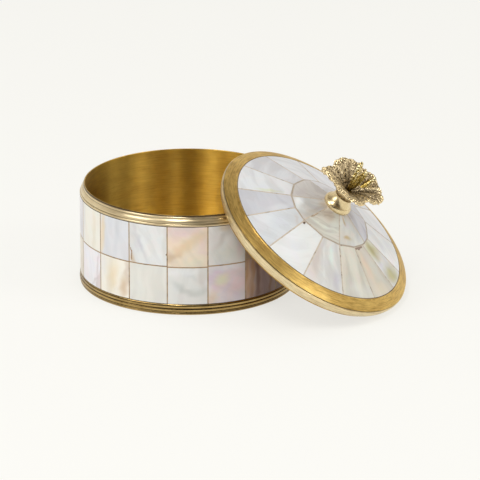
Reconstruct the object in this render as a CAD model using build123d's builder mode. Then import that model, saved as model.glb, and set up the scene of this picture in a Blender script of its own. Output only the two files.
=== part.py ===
from build123d import *
from math import asin, cos, degrees, radians, sin, sqrt, tan
import os

# A round trinket box: a brass drum with two rows of pearl-shell tiles round its side, and a
# lift-off lid, a low cone of shell tiles in a brass ring with a cast flower for a knob.
# The lid is off and leans on the box. Millimetres and degrees. +Z is up, the origin is the
# centre of the box's base on the table.

# ---------------------------------------------------------------- driving dimensions: the box
ring_radius = 50.8  # outside of the two brass rings
box_height = 47.3  # table to the rim of the neck
ring_width = 2.2  # drum to the outside of the rings
wall_thickness = 0.6
floor_thickness = 0.9
rim_round = 0.2
bottom_ring_height = 5.05
top_ring_height = 4.2
neck_height = 0.7  # the drum stands this far above the top ring
top_bead_height = 1.15  # bead round the foot of the top ring
top_bead_inset = 0.45  # from the widest part of the bottom ring in to that bead
top_lip_height = 1.0  # fine lip that ends the top ring beside the neck
top_lip_width = 0.3
top_valley_depth = 0.45  # grooves between the top ring's bands

# Side tiles, in two rows. A column's seams are at these angles from +X.
tile_thickness = 1.0
tile_setback = 0.4  # the tiles' faces lie this far inside the rings
seam_width = 0.4
ring_gap = 0.1  # between a tile's edge and the brass beside it
row_seam_lift = -0.1  # the seam between the rows, from the middle of the tiled height
side_seams = [-164.7, -143.3, -122.6, -101.2, -80.0, -59.0, -37.6, -16.6, 4.7, 25.6, 47.0, 68.2, 89.1, 110.5, 131.6,
              152.5, 173.9]
row_seam_steps = [-0.4, -0.3, -0.1, 0.0, -0.5, 0.5, 0.1, -0.3, 0.2, 0.4, -0.2, 0.0, 0.3, -0.4, 0.1, 0.3, -0.1]

# ---------------------------------------------------------------- driving dimensions: the lid
lid_inset = 0.7  # the lid's ring is this much smaller in radius than the box's rings
lid_band_height = 4.6  # rounded band round the lid's ring
lid_band_flare = 1.6  # the band's foot is this much smaller in radius than its top
bevel_width = 5.7  # from the band in to the tiles
bevel_rise = 2.9
bead_width = 0.7  # rounded edge beside the tiles
groove_depth = 0.5
dome_slope = 20.9

lip_clearance = 0.5  # lip to the drum's bore, in radius
lip_depth = 1.1  # below the ring
lip_wall = 0.7
ledge_width = 1.0  # ledge in the ring under the lid's plate
web_height = 2.0  # underside of the ring's web, where the lip ends

bed_thickness = 0.8
plate_thickness = 0.9
crown_flat_radius = 6.0  # flat middle of the plate, under the nut
seam_ring_radius = 20.9  # corners of the seam between the inner and outer tiles
outer_seams = [-172.7, -146.0, -122.6, -98.0, -71.6, -43.6, -17.6, 6.5, 26.0, 52.0, 79.5, 107.0, 135.0, 161.0]
inner_seams = [-145.0, -103.0, -46.0, 5.6, 57.0, 106.0, 152.0]

# Knob
collar_radius = 6.8
collar_bead_height = 2.9
collar_shoulder_inset = 0.75  # the bead's top is this much smaller in radius than its belly
collar_foot_inset = 0.3  # and its foot, on the tiles, by this much
collar_height = 6.6
collar_step = 0.2  # fine ledge where the bead ends and the stem starts
collar_top_radius = 4.5
flower_radius = 15.8
flower_height = 10.2
petal_thickness = 1.6
petal_count = 5
petal_radius = 7.6
rim_margin = 0.5  # the cup is turned a little wider than the petals that are cut from it
throat_radius = 2.9
throat_floor = 3.2
stamens = [(126.0, 23.0, 14.2), (62.0, 40.0, 13.4), (95.0, 35.0, 12.0)]  # angle, lean from the axis, length
stamen_width = 3.2
stamen_thickness = 1.1
stud_radius = 1.95
stud_clearance = 0.05
stud_engagement = 2.2  # how far the stud screws into the flower
stud_tail = 0.8  # what shows below the nut
washer_radius = 5.0
washer_thickness = 0.8
nut_width = 7.0  # across flats
nut_height = 3.2

# How the lid leans: its lip stands on the table and meets the neck at two points
rest_chord = 67.8  # between the two points
lean_clearance = 0.25
facing = -25.75  # the way the lid's face leans, from +X

# ---------------------------------------------------------------- worked-out sizes
drum_radius = ring_radius - ring_width
bore_radius = drum_radius - wall_thickness
tile_face_radius = ring_radius - tile_setback
bed_radius = tile_face_radius - tile_thickness
top_ring_top = box_height - neck_height
top_ring_bottom = top_ring_top - top_ring_height
row_seam_height = (bottom_ring_height + top_ring_bottom) / 2 + row_seam_lift

lid_radius = ring_radius - lid_inset
dome_radius = lid_radius - bevel_width
dome_edge_height = lid_band_height + bevel_rise
slope_rise = tan(radians(dome_slope))
slope_stretch = 1 / cos(radians(dome_slope))  # a sheet's upright thickness over its thickness
tile_drop = tile_thickness * slope_stretch
bed_drop = tile_drop + bed_thickness * slope_stretch
plate_drop = bed_drop + plate_thickness * slope_stretch
lip_radius = bore_radius - lip_clearance
stud_hole_radius = stud_radius + stud_clearance
petal_centre = flower_radius - petal_radius


def dome_height(radius):
    """Height of the tiles' face above the lid's ring, at a radius."""
    return dome_edge_height + (dome_radius - radius) * slope_rise


collar_base = dome_height(collar_radius)
flower_base = collar_base + collar_height
collar_foot_radius = collar_radius - collar_foot_inset
collar_shoulder = collar_base + collar_bead_height
collar_shoulder_radius = collar_radius - collar_shoulder_inset
crown_top = dome_height(crown_flat_radius) - bed_drop
crown_bottom = dome_height(crown_flat_radius) - plate_drop

# ---------------------------------------------------------------- where the lid leans
# The lip's bottom is a flat hoop. Its outer edge touches the table at its lowest point, and its
# inner edge meets the neck's rim at both ends of a level chord across it.
chord_up = sqrt((lip_radius - lip_wall) ** 2 - (rest_chord / 2) ** 2)
lean = degrees(asin(box_height / (lip_radius + chord_up)))
lip_centre_height = lip_radius * sin(radians(lean))
chord_out = sqrt((drum_radius + lean_clearance) ** 2 - (rest_chord / 2) ** 2)
lip_centre_out = chord_out + chord_up * cos(radians(lean))
lid_out = lip_centre_out + lip_depth * sin(radians(lean))
lid_rise = lip_centre_height + lip_depth * cos(radians(lean))

facing_dir = Vector(cos(radians(facing)), sin(radians(facing)), 0)
across_dir = Vector(0, 0, 1).cross(facing_dir)
lid_normal = facing_dir * sin(radians(lean)) + Vector(0, 0, cos(radians(lean)))
downhill = across_dir.cross(lid_normal)

box_frame = Plane.XY
lid_frame = Plane(origin=facing_dir * lid_out + Vector(0, 0, lid_rise), x_dir=downhill, z_dir=lid_normal)
lid_axis = Axis(lid_frame.origin, lid_normal)


def spoke(frame, angle):
    """Direction outward from a frame's axis, at an angle from its x."""
    return frame.x_dir * cos(radians(angle)) + frame.y_dir * sin(radians(angle))


def section(frame, angle=0):
    """Half-plane through a frame's axis: x runs outward at an angle, y runs along the axis."""
    outward = spoke(frame, angle)
    return Plane(origin=frame.origin, x_dir=outward, z_dir=outward.cross(frame.z_dir))


def outline(*points):
    """Closed outline of (x, y) or (x, y, sag) points. A sag bows the line that leaves its point."""
    for here, there in zip(points, points[1:] + points[:1]):
        if len(here) == 3:
            SagittaArc(here[:2], there[:2], here[2])
        else:
            Line(here, there[:2])


def polar(radius, angle):
    return (radius * cos(radians(angle)), radius * sin(radians(angle)))


def between(angles, low, high):
    """The angles that lie inside the turn from low to high, in order."""
    inside = [(angle - low) % 360 for angle in angles]
    return [low + turn for turn in sorted(inside) if 0 < turn < (high - low) % 360]


def seam_ring_point(angle):
    """Where a ray meets the many-sided seam between the outer and inner tiles."""
    ends = zip(outer_seams, outer_seams[1:] + [outer_seams[0] + 360])
    start, end = next((a, b) for a, b in ends if (angle - a) % 360 < b - a)
    half = (end - start) / 2
    off_middle = (angle - start) % 360 - half
    return polar(seam_ring_radius * cos(radians(half)) / cos(radians(off_middle)), angle)


os.makedirs("parts", exist_ok=True)

# ---------------------------------------------------------------- the box
# Base plate, flush with the foot of the bottom ring
with BuildPart() as box_floor:
    with BuildSketch(Plane.XY):
        Circle(drum_radius)
    extrude(amount=floor_thickness)
box_floor.part.label = "box_floor"
export_step(box_floor.part, "parts/box_floor.step")

# Drum wall, soldered to the base plate. Its rim is the neck that the lid goes into.
with BuildPart() as box_wall:
    with BuildSketch(Plane.XY.offset(floor_thickness)):
        Circle(drum_radius)
        Circle(bore_radius, mode=Mode.SUBTRACT)
    extrude(amount=box_height - floor_thickness)
    fillet(box_wall.edges().group_by(Axis.Z)[-1], rim_round)
box_wall.part.label = "box_wall"
export_step(box_wall.part, "parts/box_wall.step")

# Bottom ring: a broad convex band over two beads, each with a sharp valley under it
with BuildPart() as bottom_ring:
    with BuildSketch(section(box_frame)):
        with BuildLine():
            outline(
                (drum_radius, 0),
                (ring_radius - 0.7, 0),
                (ring_radius - 0.45, 0.25, -0.15),
                (ring_radius - 0.45, 0.85),
                (ring_radius - 0.3, 0.95, -0.18),
                (ring_radius - 0.3, 1.5),
                (ring_radius - 0.15, 1.6, -0.17),
                (ring_radius - 0.2, 3.0),
                (ring_radius - 0.35, 3.1, -0.35),
                (ring_radius - 0.75, bottom_ring_height),
                (drum_radius, bottom_ring_height),
            )
        make_face()
    revolve(axis=Axis.Z)
bottom_ring.part.label = "bottom_ring"
export_step(bottom_ring.part, "parts/bottom_ring.step")

# Top ring, a moulding that flares down from the neck: a fine lip, a broad convex band and a
# bead, with a groove between each
top_bead_radius = ring_radius - top_bead_inset
top_bead_top = top_ring_bottom + top_bead_height
top_lip_bottom = top_ring_top - top_lip_height
top_lip_radius = drum_radius + top_lip_width
with BuildPart() as top_ring:
    with BuildSketch(section(box_frame)):
        with BuildLine():
            outline(
                (drum_radius, top_ring_bottom),
                (top_bead_radius - 0.3, top_ring_bottom, -0.05),
                (top_bead_radius, top_ring_bottom + 0.25, -0.12),
                (top_bead_radius - 0.15, top_bead_top - 0.1),
                (top_bead_radius - top_valley_depth - 0.15, top_bead_top),
                (top_bead_radius - top_valley_depth, top_bead_top + 0.15, -0.25),
                (top_lip_radius + 0.1, top_lip_bottom),
                (top_lip_radius - 0.05, top_lip_bottom + 0.1),
                (top_lip_radius, top_lip_bottom + 0.2, -0.1),
                (drum_radius + 0.1, top_ring_top),
                (drum_radius, top_ring_top),
            )
        make_face()
    revolve(axis=Axis.Z)
top_ring.part.label = "top_ring"
export_step(top_ring.part, "parts/top_ring.step")

# Resin bed that the side tiles are set in
with BuildPart() as side_bed:
    with BuildSketch(Plane.XY.offset(bottom_ring_height)):
        Circle(bed_radius)
        Circle(drum_radius, mode=Mode.SUBTRACT)
    extrude(amount=top_ring_bottom - bottom_ring_height)
side_bed.part.label = "side_bed"
export_step(side_bed.part, "parts/side_bed.step")

# Side tiles: each column is a lower and an upper tile, curved to the drum
half_seam_angle = degrees(seam_width / 2 / tile_face_radius)
tile_bottom = bottom_ring_height + ring_gap
tile_top = top_ring_bottom - ring_gap
for number, (start, step) in enumerate(zip(side_seams, row_seam_steps), 1):
    end = (side_seams + [side_seams[0] + 360])[number]
    row_seam = row_seam_height + step
    with BuildPart() as side_tile_column:
        for low, high in ((tile_bottom, row_seam - seam_width / 2), (row_seam + seam_width / 2, tile_top)):
            with BuildSketch(section(box_frame, start + half_seam_angle)):
                with Locations(((bed_radius + tile_face_radius) / 2, (low + high) / 2)):
                    Rectangle(tile_thickness, high - low)
            revolve(axis=Axis.Z, revolution_arc=end - start - 2 * half_seam_angle)
    side_tile_column.part.label = f"side_tile_column_{number:02d}"
    export_step(side_tile_column.part, f"parts/side_tile_column_{number:02d}.step")

# ---------------------------------------------------------------- the lid
# Ring moulding: a rounded band that flares up from the foot, a fine groove, a broad bevel, and
# a bead beside the tiles. Its foot sits on the neck's rim. A web carries the lip and the plate.
bevel_start = (lid_radius - 0.3, lid_band_height + 0.2)
bead_foot = (dome_radius + bead_width, dome_edge_height - bead_width * bevel_rise / bevel_width - 0.1)
with BuildPart() as lid_ring:
    with BuildSketch(section(lid_frame)):
        with BuildLine():
            outline(
                (dome_radius - ledge_width, web_height),
                (lip_radius, web_height),
                (lip_radius, 0),
                (lid_radius - lid_band_flare, 0, -0.35),
                (lid_radius, lid_band_height - 0.5),
                (lid_radius - groove_depth, lid_band_height - 0.25),
                (lid_radius - groove_depth, lid_band_height),
                bevel_start + (-0.12,),
                bead_foot,
                (dome_radius + bead_width, bead_foot[1] + 0.12, -0.12),
                (dome_radius, dome_edge_height),
                (dome_radius, dome_edge_height - plate_drop),
                (dome_radius - ledge_width, dome_height(dome_radius - ledge_width) - plate_drop),
            )
        make_face()
    revolve(axis=lid_axis)
lid_ring.part.label = "lid_ring"
export_step(lid_ring.part, "parts/lid_ring.step")

# Locating lip, a strip rolled to a hoop and soldered inside the ring
with BuildPart() as lid_lip:
    with BuildSketch(lid_frame.offset(-lip_depth)):
        Circle(lip_radius)
        Circle(lip_radius - lip_wall, mode=Mode.SUBTRACT)
    extrude(amount=lip_depth + web_height)
lid_lip.part.label = "lid_lip"
export_step(lid_lip.part, "parts/lid_lip.step")

# Conical plate, on the ring's ledge, with a flat crown for the knob's stud
with BuildPart() as lid_plate:
    with BuildSketch(section(lid_frame)):
        with BuildLine():
            outline(
                (stud_hole_radius, crown_bottom),
                (crown_flat_radius, crown_bottom),
                (dome_radius, dome_edge_height - plate_drop),
                (dome_radius, dome_edge_height - bed_drop),
                (crown_flat_radius, crown_top),
                (stud_hole_radius, crown_top),
            )
        make_face()
    revolve(axis=lid_axis)
lid_plate.part.label = "lid_plate"
export_step(lid_plate.part, "parts/lid_plate.step")

# Resin bed under the lid's tiles
with BuildPart() as lid_bed:
    with BuildSketch(section(lid_frame)):
        with BuildLine():
            outline(
                (stud_hole_radius, crown_top),
                (crown_flat_radius, crown_top),
                (dome_radius, dome_edge_height - bed_drop),
                (dome_radius, dome_edge_height - tile_drop),
                (stud_hole_radius, dome_height(stud_hole_radius) - tile_drop),
            )
        make_face()
    revolve(axis=lid_axis)
lid_bed.part.label = "lid_bed"
export_step(lid_bed.part, "parts/lid_bed.step")

# The cone that the lid's tiles are ground to. Each tile is the piece of it inside its outline.
tile_inner_radius = stud_hole_radius + 1.0
tile_outer_radius = dome_radius - ring_gap
with BuildPart() as tile_cone:
    with BuildSketch(section(lid_frame)):
        with BuildLine():
            outline(
                (tile_inner_radius, dome_height(tile_inner_radius) - tile_drop),
                (tile_outer_radius, dome_height(tile_outer_radius) - tile_drop),
                (tile_outer_radius, dome_height(tile_outer_radius)),
                (tile_inner_radius, dome_height(tile_inner_radius)),
            )
        make_face()
    revolve(axis=lid_axis)

# Outer tiles: straight sides along their seams, a straight inner edge, a round outer edge
for number, start in enumerate(outer_seams, 1):
    end = (outer_seams + [outer_seams[0] + 360])[number]
    corner_radius = lid_radius / cos(radians((end - start) / 2))
    with BuildPart() as lid_outer_tile:
        with BuildSketch(lid_frame):
            with BuildLine():
                outline(
                    polar(seam_ring_radius, start),
                    polar(corner_radius, start),
                    polar(corner_radius, end),
                    polar(seam_ring_radius, end),
                )
            make_face()
            offset(amount=-seam_width / 2, kind=Kind.INTERSECTION, mode=Mode.REPLACE)
        extrude(amount=dome_height(0))
        add(tile_cone.part, mode=Mode.INTERSECT)
    lid_outer_tile.part.label = f"lid_outer_tile_{number:02d}"
    export_step(lid_outer_tile.part, f"parts/lid_outer_tile_{number:02d}.step")

# Inner tiles: wedges that end under the knob's collar
for number, start in enumerate(inner_seams, 1):
    end = (inner_seams + [inner_seams[0] + 360])[number]
    corners = [start, *between(outer_seams, start, end), end]
    with BuildPart() as lid_inner_tile:
        with BuildSketch(lid_frame):
            with BuildLine():
                outline((0, 0), *[seam_ring_point(angle) for angle in corners])
            make_face()
            offset(amount=-seam_width / 2, kind=Kind.INTERSECTION, mode=Mode.REPLACE)
        extrude(amount=dome_height(0))
        add(tile_cone.part, mode=Mode.INTERSECT)
    lid_inner_tile.part.label = f"lid_inner_tile_{number}"
    export_step(lid_inner_tile.part, f"parts/lid_inner_tile_{number}.step")

# ---------------------------------------------------------------- the knob
# Collar: a plump bead on the tiles, then a hollow-sided stem up to the flower
with BuildPart() as knob_collar:
    with BuildSketch(section(lid_frame)):
        with BuildLine():
            outline(
                (stud_hole_radius, dome_height(stud_hole_radius)),
                (collar_foot_radius, dome_height(collar_foot_radius), -0.06),
                (collar_radius, collar_base + 0.9, -0.22),
                (collar_shoulder_radius, collar_shoulder),
                (collar_shoulder_radius - collar_step, collar_shoulder + 0.05, 0.3),
                (collar_top_radius, flower_base),
                (stud_hole_radius, flower_base),
            )
        make_face()
    revolve(axis=lid_axis)
knob_collar.part.label = "knob_collar"
export_step(knob_collar.part, "parts/knob_collar.step")

# Flower: a flared cup, thick at the throat and open at the rim, cut to five round petals
with BuildPart() as knob_flower:
    with BuildSketch(section(lid_frame)):
        with BuildLine():
            outline(
                (0, flower_base),
                (collar_top_radius, flower_base, 0.7),
                (flower_radius + rim_margin, flower_base + flower_height - petal_thickness),
                (flower_radius + rim_margin, flower_base + flower_height, -0.7),
                (throat_radius, flower_base + throat_floor),
                (0, flower_base + throat_floor),
            )
        make_face()
    revolve(axis=lid_axis)
    with BuildSketch(lid_frame.offset(flower_base)):
        Circle(petal_centre)
        with PolarLocations(petal_centre, petal_count):
            Circle(petal_radius)
    extrude(amount=flower_height, mode=Mode.INTERSECT)
    with BuildSketch(lid_frame.offset(flower_base)):
        Circle(stud_hole_radius)
    extrude(amount=stud_engagement, mode=Mode.SUBTRACT)
knob_flower.part.label = "knob_flower"
export_step(knob_flower.part, "parts/knob_flower.step")

# Stamens: three pointed leaves that grow from one small disc on the throat's floor
throat_plane = lid_frame.offset(flower_base + throat_floor)
with BuildPart() as knob_stamens:
    with BuildSketch(throat_plane):
        Circle(throat_radius - 0.3)
    extrude(amount=stamen_thickness)
    for angle, stamen_lean, stamen_length in stamens:
        outward = spoke(throat_plane, angle)
        leaf_dir = throat_plane.z_dir * cos(radians(stamen_lean)) + outward * sin(radians(stamen_lean))
        across = throat_plane.z_dir.cross(outward)
        leaf_root = throat_plane.origin + outward * stamen_thickness
        with BuildSketch(Plane(origin=leaf_root, x_dir=across, z_dir=across.cross(leaf_dir))):
            with BuildLine():
                outline(
                    (-stamen_width / 4, stamen_thickness / 2, stamen_width / 4),
                    (0, stamen_length, stamen_width / 4),
                    (stamen_width / 4, stamen_thickness / 2),
                )
            make_face()
        extrude(amount=stamen_thickness / 2, both=True)
knob_stamens.part.label = "knob_stamens"
export_step(knob_stamens.part, "parts/knob_stamens.step")

# Stud, washer and nut that hold the knob to the lid
washer_top = crown_bottom
nut_top = washer_top - washer_thickness
stud_bottom = nut_top - nut_height - stud_tail
with BuildPart() as knob_stud:
    with BuildSketch(lid_frame.offset(stud_bottom)):
        Circle(stud_radius)
    extrude(amount=flower_base + stud_engagement - stud_bottom)
    chamfer(knob_stud.edges().sort_by(lid_axis)[0], stud_radius / 6)
knob_stud.part.label = "knob_stud"
export_step(knob_stud.part, "parts/knob_stud.step")

with BuildPart() as knob_washer:
    with BuildSketch(lid_frame.offset(nut_top)):
        Circle(washer_radius)
        Circle(stud_hole_radius, mode=Mode.SUBTRACT)
    extrude(amount=washer_thickness)
knob_washer.part.label = "knob_washer"
export_step(knob_washer.part, "parts/knob_washer.step")

with BuildPart() as knob_nut:
    with BuildSketch(lid_frame.offset(nut_top - nut_height)):
        RegularPolygon(nut_width / 2, 6, major_radius=False)
        Circle(stud_hole_radius, mode=Mode.SUBTRACT)
    extrude(amount=nut_height)
knob_nut.part.label = "knob_nut"
export_step(knob_nut.part, "parts/knob_nut.step")

print(f"lean {lean:.2f} degrees, lid centre {lid_out:.2f} out and {lid_rise:.2f} up")
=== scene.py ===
# %% [markdown]
# # A round pearl-shell pill box with a flower knob
#
# The real box is a brass drum with two rows of pearl-shell tiles set in resin round its side. Its lid is a
# low cone of the same tiles in a brass ring, and a cast brass flower is the knob. The lid is off and leans
# on the box. This lesson takes the fixed construction model as it stands and makes its looks: metal that
# has been turned, brushed, polished or cast, resin seams, and shell that is never twice the same.

# %% Load the fixed frame
import math

import bpy
import numpy as np
from mathutils import Matrix, Vector, noise


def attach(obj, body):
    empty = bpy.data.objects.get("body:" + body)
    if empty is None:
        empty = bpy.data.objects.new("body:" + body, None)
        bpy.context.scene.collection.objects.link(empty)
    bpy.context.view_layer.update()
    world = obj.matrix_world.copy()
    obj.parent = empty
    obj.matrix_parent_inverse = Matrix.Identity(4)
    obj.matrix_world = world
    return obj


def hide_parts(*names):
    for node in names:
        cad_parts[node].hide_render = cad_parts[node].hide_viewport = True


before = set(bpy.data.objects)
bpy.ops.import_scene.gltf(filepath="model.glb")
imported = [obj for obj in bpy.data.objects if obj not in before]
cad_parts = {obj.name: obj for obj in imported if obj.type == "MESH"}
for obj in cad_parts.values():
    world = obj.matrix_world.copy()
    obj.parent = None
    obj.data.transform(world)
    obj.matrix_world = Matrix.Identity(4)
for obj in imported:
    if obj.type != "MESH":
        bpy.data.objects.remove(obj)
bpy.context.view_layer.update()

# %% [markdown]
# Everything in the frame is in metres, and the lid leans, so it is awkward to model in place. Two spaces
# make it easy: the box's own space, and the lid's, with its floor at the underside of the lid's ring and
# its z along the lid's axis. No number is needed for the lean: the washer under the lid is flat, so its
# largest face looks along the lid's axis, and the middle of the ring is the lid's centre.

# %% Find the lid's own space
MM = 0.001


def read_vectors(mesh, field="co"):
    """One vector for each of a mesh's points: its place, or its normal."""
    values = np.empty(len(mesh.vertices) * 3)
    mesh.vertices.foreach_get(field, values)
    return values.reshape(-1, 3)


def mesh_points(node):
    """A construction node's points, in millimetres."""
    return read_vectors(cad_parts[node].data) / MM


largest = max(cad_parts["knob_washer"].data.polygons, key=lambda face: face.area)
lid_up = np.array(largest.normal, float)
lid_up *= np.sign(lid_up[2]) / np.linalg.norm(lid_up)
lid_across = np.cross([0, 0, 1], lid_up)
lid_across /= np.linalg.norm(lid_across)
lid_turn = np.array([np.cross(lid_across, lid_up), lid_across, lid_up])
ring_seen = mesh_points("lid_ring") @ lid_turn.T
middle = (ring_seen.min(0) + ring_seen.max(0)) / 2
middle[2] = ring_seen[:, 2].min()

BOX = (np.eye(3), np.zeros(3))
LID = (lid_turn, middle @ lid_turn)
print("lid leans", round(math.degrees(math.acos(lid_up[2])), 2), "degrees, centre", LID[1].round(2))

# %% [markdown]
# A node's sizes are read in its own space, as a maker would with calipers: the smallest and largest radius
# and the lowest and highest point. Reading them here, and not typing them in, keeps the looks on the
# construction model if a size changes.

# %% Calipers
def into(space, points):
    """Points in millimetres, seen from a space."""
    turn, origin = space
    return (points - origin) @ turn.T


def out_of(space, points):
    """Points of a space, put back in the frame."""
    turn, origin = space
    return points @ turn + origin


def calipers(node, space):
    """Smallest and largest radius, lowest and highest point."""
    x, y, z = into(space, mesh_points(node)).T
    radius = np.hypot(x, y)
    return radius.min(), radius.max(), z.min(), z.max()


print("the lid's ring is", round(2 * calipers("lid_ring", LID)[1], 1), "mm across")

# %% [markdown]
# The seams between tiles are read the same way. On the real box they are thin lines of resin, and the shell
# pieces that are modelled later have to fall on the tiles of the construction model, seam on seam.

# %% Find the seams
SEAM = 0.4  # width, in millimetres
FAR_OFF = 9  # more than any angle in radians
RIM_SHARE = 0.9  # a tile's edge is read outside this share of its radius
SEAM_REACH = 2  # the row seam is looked for this near the middle of a column


def first_seam(node, space):
    """The angle of the seam where a tile begins, in degrees."""
    x, y, _ = into(space, mesh_points(node)).T
    middle = math.atan2(y.mean(), x.mean())
    radius = np.hypot(x, y)
    turn = np.angle(np.exp(1j * (np.arctan2(y, x) - middle)))
    turn[radius < RIM_SHARE * radius.max()] = FAR_OFF
    first = turn.argmin()
    return math.degrees(middle + turn[first] - math.asin(SEAM / 2 / radius[first]))


def row_seam(node):
    """The height of the seam between the two tiles of a side column."""
    z = mesh_points(node)[:, 2]
    halfway = (z.min() + z.max()) / 2
    near = z[abs(z - halfway) < SEAM_REACH]
    return (near[near < near.mean()].max() + near[near > near.mean()].min()) / 2


SIDE_NODES = sorted(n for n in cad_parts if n.startswith("side_tile_column"))
OUTER_NODES = sorted(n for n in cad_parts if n.startswith("lid_outer_tile"))
INNER_NODES = sorted(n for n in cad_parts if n.startswith("lid_inner_tile"))
side_seams = [first_seam(node, BOX) for node in SIDE_NODES]
row_seams = [row_seam(node) for node in SIDE_NODES]
outer_seams = [first_seam(node, LID) for node in OUTER_NODES]
inner_seams = [first_seam(node, LID) for node in INNER_NODES]

_, face_radius, side_low, side_high = calipers(SIDE_NODES[0], BOX)
_, seam_ring_radius, _, crown_height = calipers(INNER_NODES[0], LID)
seam_ring_radius += SEAM / 2
_, dome_radius, _, _ = calipers(OUTER_NODES[0], LID)
print("seams:", len(side_seams), "side,", len(outer_seams), "outer,", len(inner_seams), "inner")
print("side face radius", round(face_radius, 2), "dome radius", round(dome_radius, 2))

# %% [markdown]
# The camera stands about two metres away with a long lens, a little above the box, so the round rims close
# to flat ellipses and nothing bulges. It is placed by what it looks at, how far off it is and how high it
# stands, which are easier to judge than a rotation. A long lens makes small turns of the camera matter, so
# the roll is given too.

# %% Place the camera
LOOKED_AT = Vector((0.02388, 0, 0.01844))
DISTANCE = 2.0345
ELEVATION = math.radians(19.512)
SWING = math.radians(-0.714)
ROLL = math.radians(0.116)
LENS = 327.97


def towards(around, above):
    """The direction of something seen at an azimuth and an elevation, in radians."""
    return Vector((math.sin(around) * math.cos(above), -math.cos(around) * math.cos(above), math.sin(above)))


def place_camera():
    """A long lens that looks at the box from a little above."""
    back = towards(SWING, ELEVATION)
    camera = bpy.data.objects.new("camera", bpy.data.cameras.new("camera"))
    camera.data.lens = LENS
    camera.data.clip_start, camera.data.clip_end = 0.1, 20
    camera.rotation_mode = "QUATERNION"
    upright = back.to_track_quat("Z", "Y").to_matrix()
    camera.rotation_quaternion = (upright @ Matrix.Rotation(ROLL, 3, "Z")).to_quaternion()
    camera.location = LOOKED_AT + back * DISTANCE
    bpy.context.scene.collection.objects.link(camera)
    bpy.context.scene.camera = camera
    return camera


camera = place_camera()
bpy.context.scene.view_settings.view_transform = "Standard"
print("camera at", [round(v, 3) for v in camera.location])

# %% [markdown]
# A finish is a small graph of nodes, and graphs are hard to read when each takes ten lines to make. A few
# helpers keep them short. The first makes a material. The second adds any node and fills its inputs with
# values or with other nodes' outputs. The others do arithmetic, on numbers and on places.

# %% Helpers for graphs of nodes
def new_finish(name):
    """A material, its tree and its one shader."""
    material = bpy.data.materials.new(name)
    material.use_nodes = True
    return material, material.node_tree, material.node_tree.nodes["Principled BSDF"]


def add(tree, kind, inputs=None, **settings):
    """One node, with each input set to a value or linked to another node's output."""
    made = tree.nodes.new("ShaderNode" + kind)
    for name, value in settings.items():
        setattr(made, name, value)
    for name, value in (inputs or {}).items():
        if isinstance(value, bpy.types.NodeSocket):
            tree.links.new(value, made.inputs[name])
        else:
            made.inputs[name].default_value = value
    return made


def maths(tree, operation, first, second=0.0, third=0.0, clamp=False):
    """Arithmetic on single numbers."""
    return add(tree, "Math", {0: first, 1: second, 2: third}, operation=operation, use_clamp=clamp).outputs[0]


def vectors(tree, operation, first, second=(0.0, 0.0, 0.0), third=(0.0, 0.0, 0.0)):
    """Arithmetic on places and directions."""
    return add(tree, "VectorMath", {0: first, 1: second, 2: third}, operation=operation).outputs[0]


def off_by(tree, value, place):
    """How far a value is from a place on its range."""
    return maths(tree, "ABSOLUTE", maths(tree, "SUBTRACT", value, place))


def spread(tree, value, low, high, to_low=0.0, to_high=1.0):
    """A value's range from low to high stretched to another range, with smooth ends."""
    made = add(tree, "MapRange", {0: value, 1: low, 2: high, 3: to_low, 4: to_high},
               interpolation_type="SMOOTHSTEP")
    return made.outputs[0]


print("helpers for numbers:", [helper.__name__ for helper in (maths, vectors, off_by, spread)])

# %% [markdown]
# The other helpers are for what a finish is made of: colours, noise and small bumps. Noise stands for all
# that a workshop leaves by chance, such as scratches, tarnish and dust. Painted images could show it too,
# but they would blur close up, while noise is as fine as it needs to be.

# %% Helpers for colour, noise and bumps
def srgb(red, green, blue, alpha=1.0):
    """A colour as a painter reads it, 0 to 255, in the linear light that shaders use."""
    linear = [((c / 255 + 0.055) / 1.055) ** 2.4 if c > 10 else c / 255 / 12.92 for c in (red, green, blue)]
    return (*linear, alpha)


def mix(tree, factor, first, second, blend="MIX"):
    """Two colours mixed."""
    made = add(tree, "Mix", {0: factor, 6: first, 7: second}, data_type="RGBA", blend_type=blend)
    return made.outputs[2]


def tinted(tree, factor, colour, tint):
    """A colour darkened by a tint, as by a stain."""
    return mix(tree, factor, colour, tint, "MULTIPLY")


def ramp(tree, value, *stops):
    """A value turned into colours; each stop is a place from 0 to 1 and a colour."""
    made = add(tree, "ValToRGB", {0: value})
    elements = made.color_ramp.elements
    while len(elements) < len(stops):
        elements.new(0.5)
    for element, (place, colour) in zip(elements, stops):
        element.position = place
        element.color = colour
    return made.outputs[0]


def speckle(tree, place, scale, detail=3.0, roughness=0.55, distortion=0.0):
    """Smooth noise from 0 to 1, with a scale in turns per millimetre where the place is in millimetres."""
    made = add(tree, "TexNoise", {"Vector": place, "Scale": scale, "Detail": detail,
                                  "Roughness": roughness, "Distortion": distortion})
    return made.outputs["Fac"]


def raised(tree, height, depth):
    """A bump in the surface: `height` from 0 to 1, over a depth in millimetres."""
    return add(tree, "Bump", {"Height": height, "Strength": 1.0, "Distance": depth * MM}).outputs[0]


def set_shader(tree, shader, **inputs):
    """The shader's own sockets, set or linked. Underscores stand for the spaces in their names."""
    for name, value in inputs.items():
        socket = shader.inputs[name.replace("_", " ")]
        if isinstance(value, bpy.types.NodeSocket):
            tree.links.new(value, socket)
        else:
            socket.default_value = value


print("one brass colour in linear light:", [round(c, 3) for c in srgb(220, 200, 150)])

# %% [markdown]
# The box stands on white paper. A real white floor would either look grey or burn out, so this one is
# partly a glow of the paper's own colour: rays from the camera and rays mirrored by the metal see mostly
# that glow, and only a share of the floor's own light and shadow.

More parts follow.
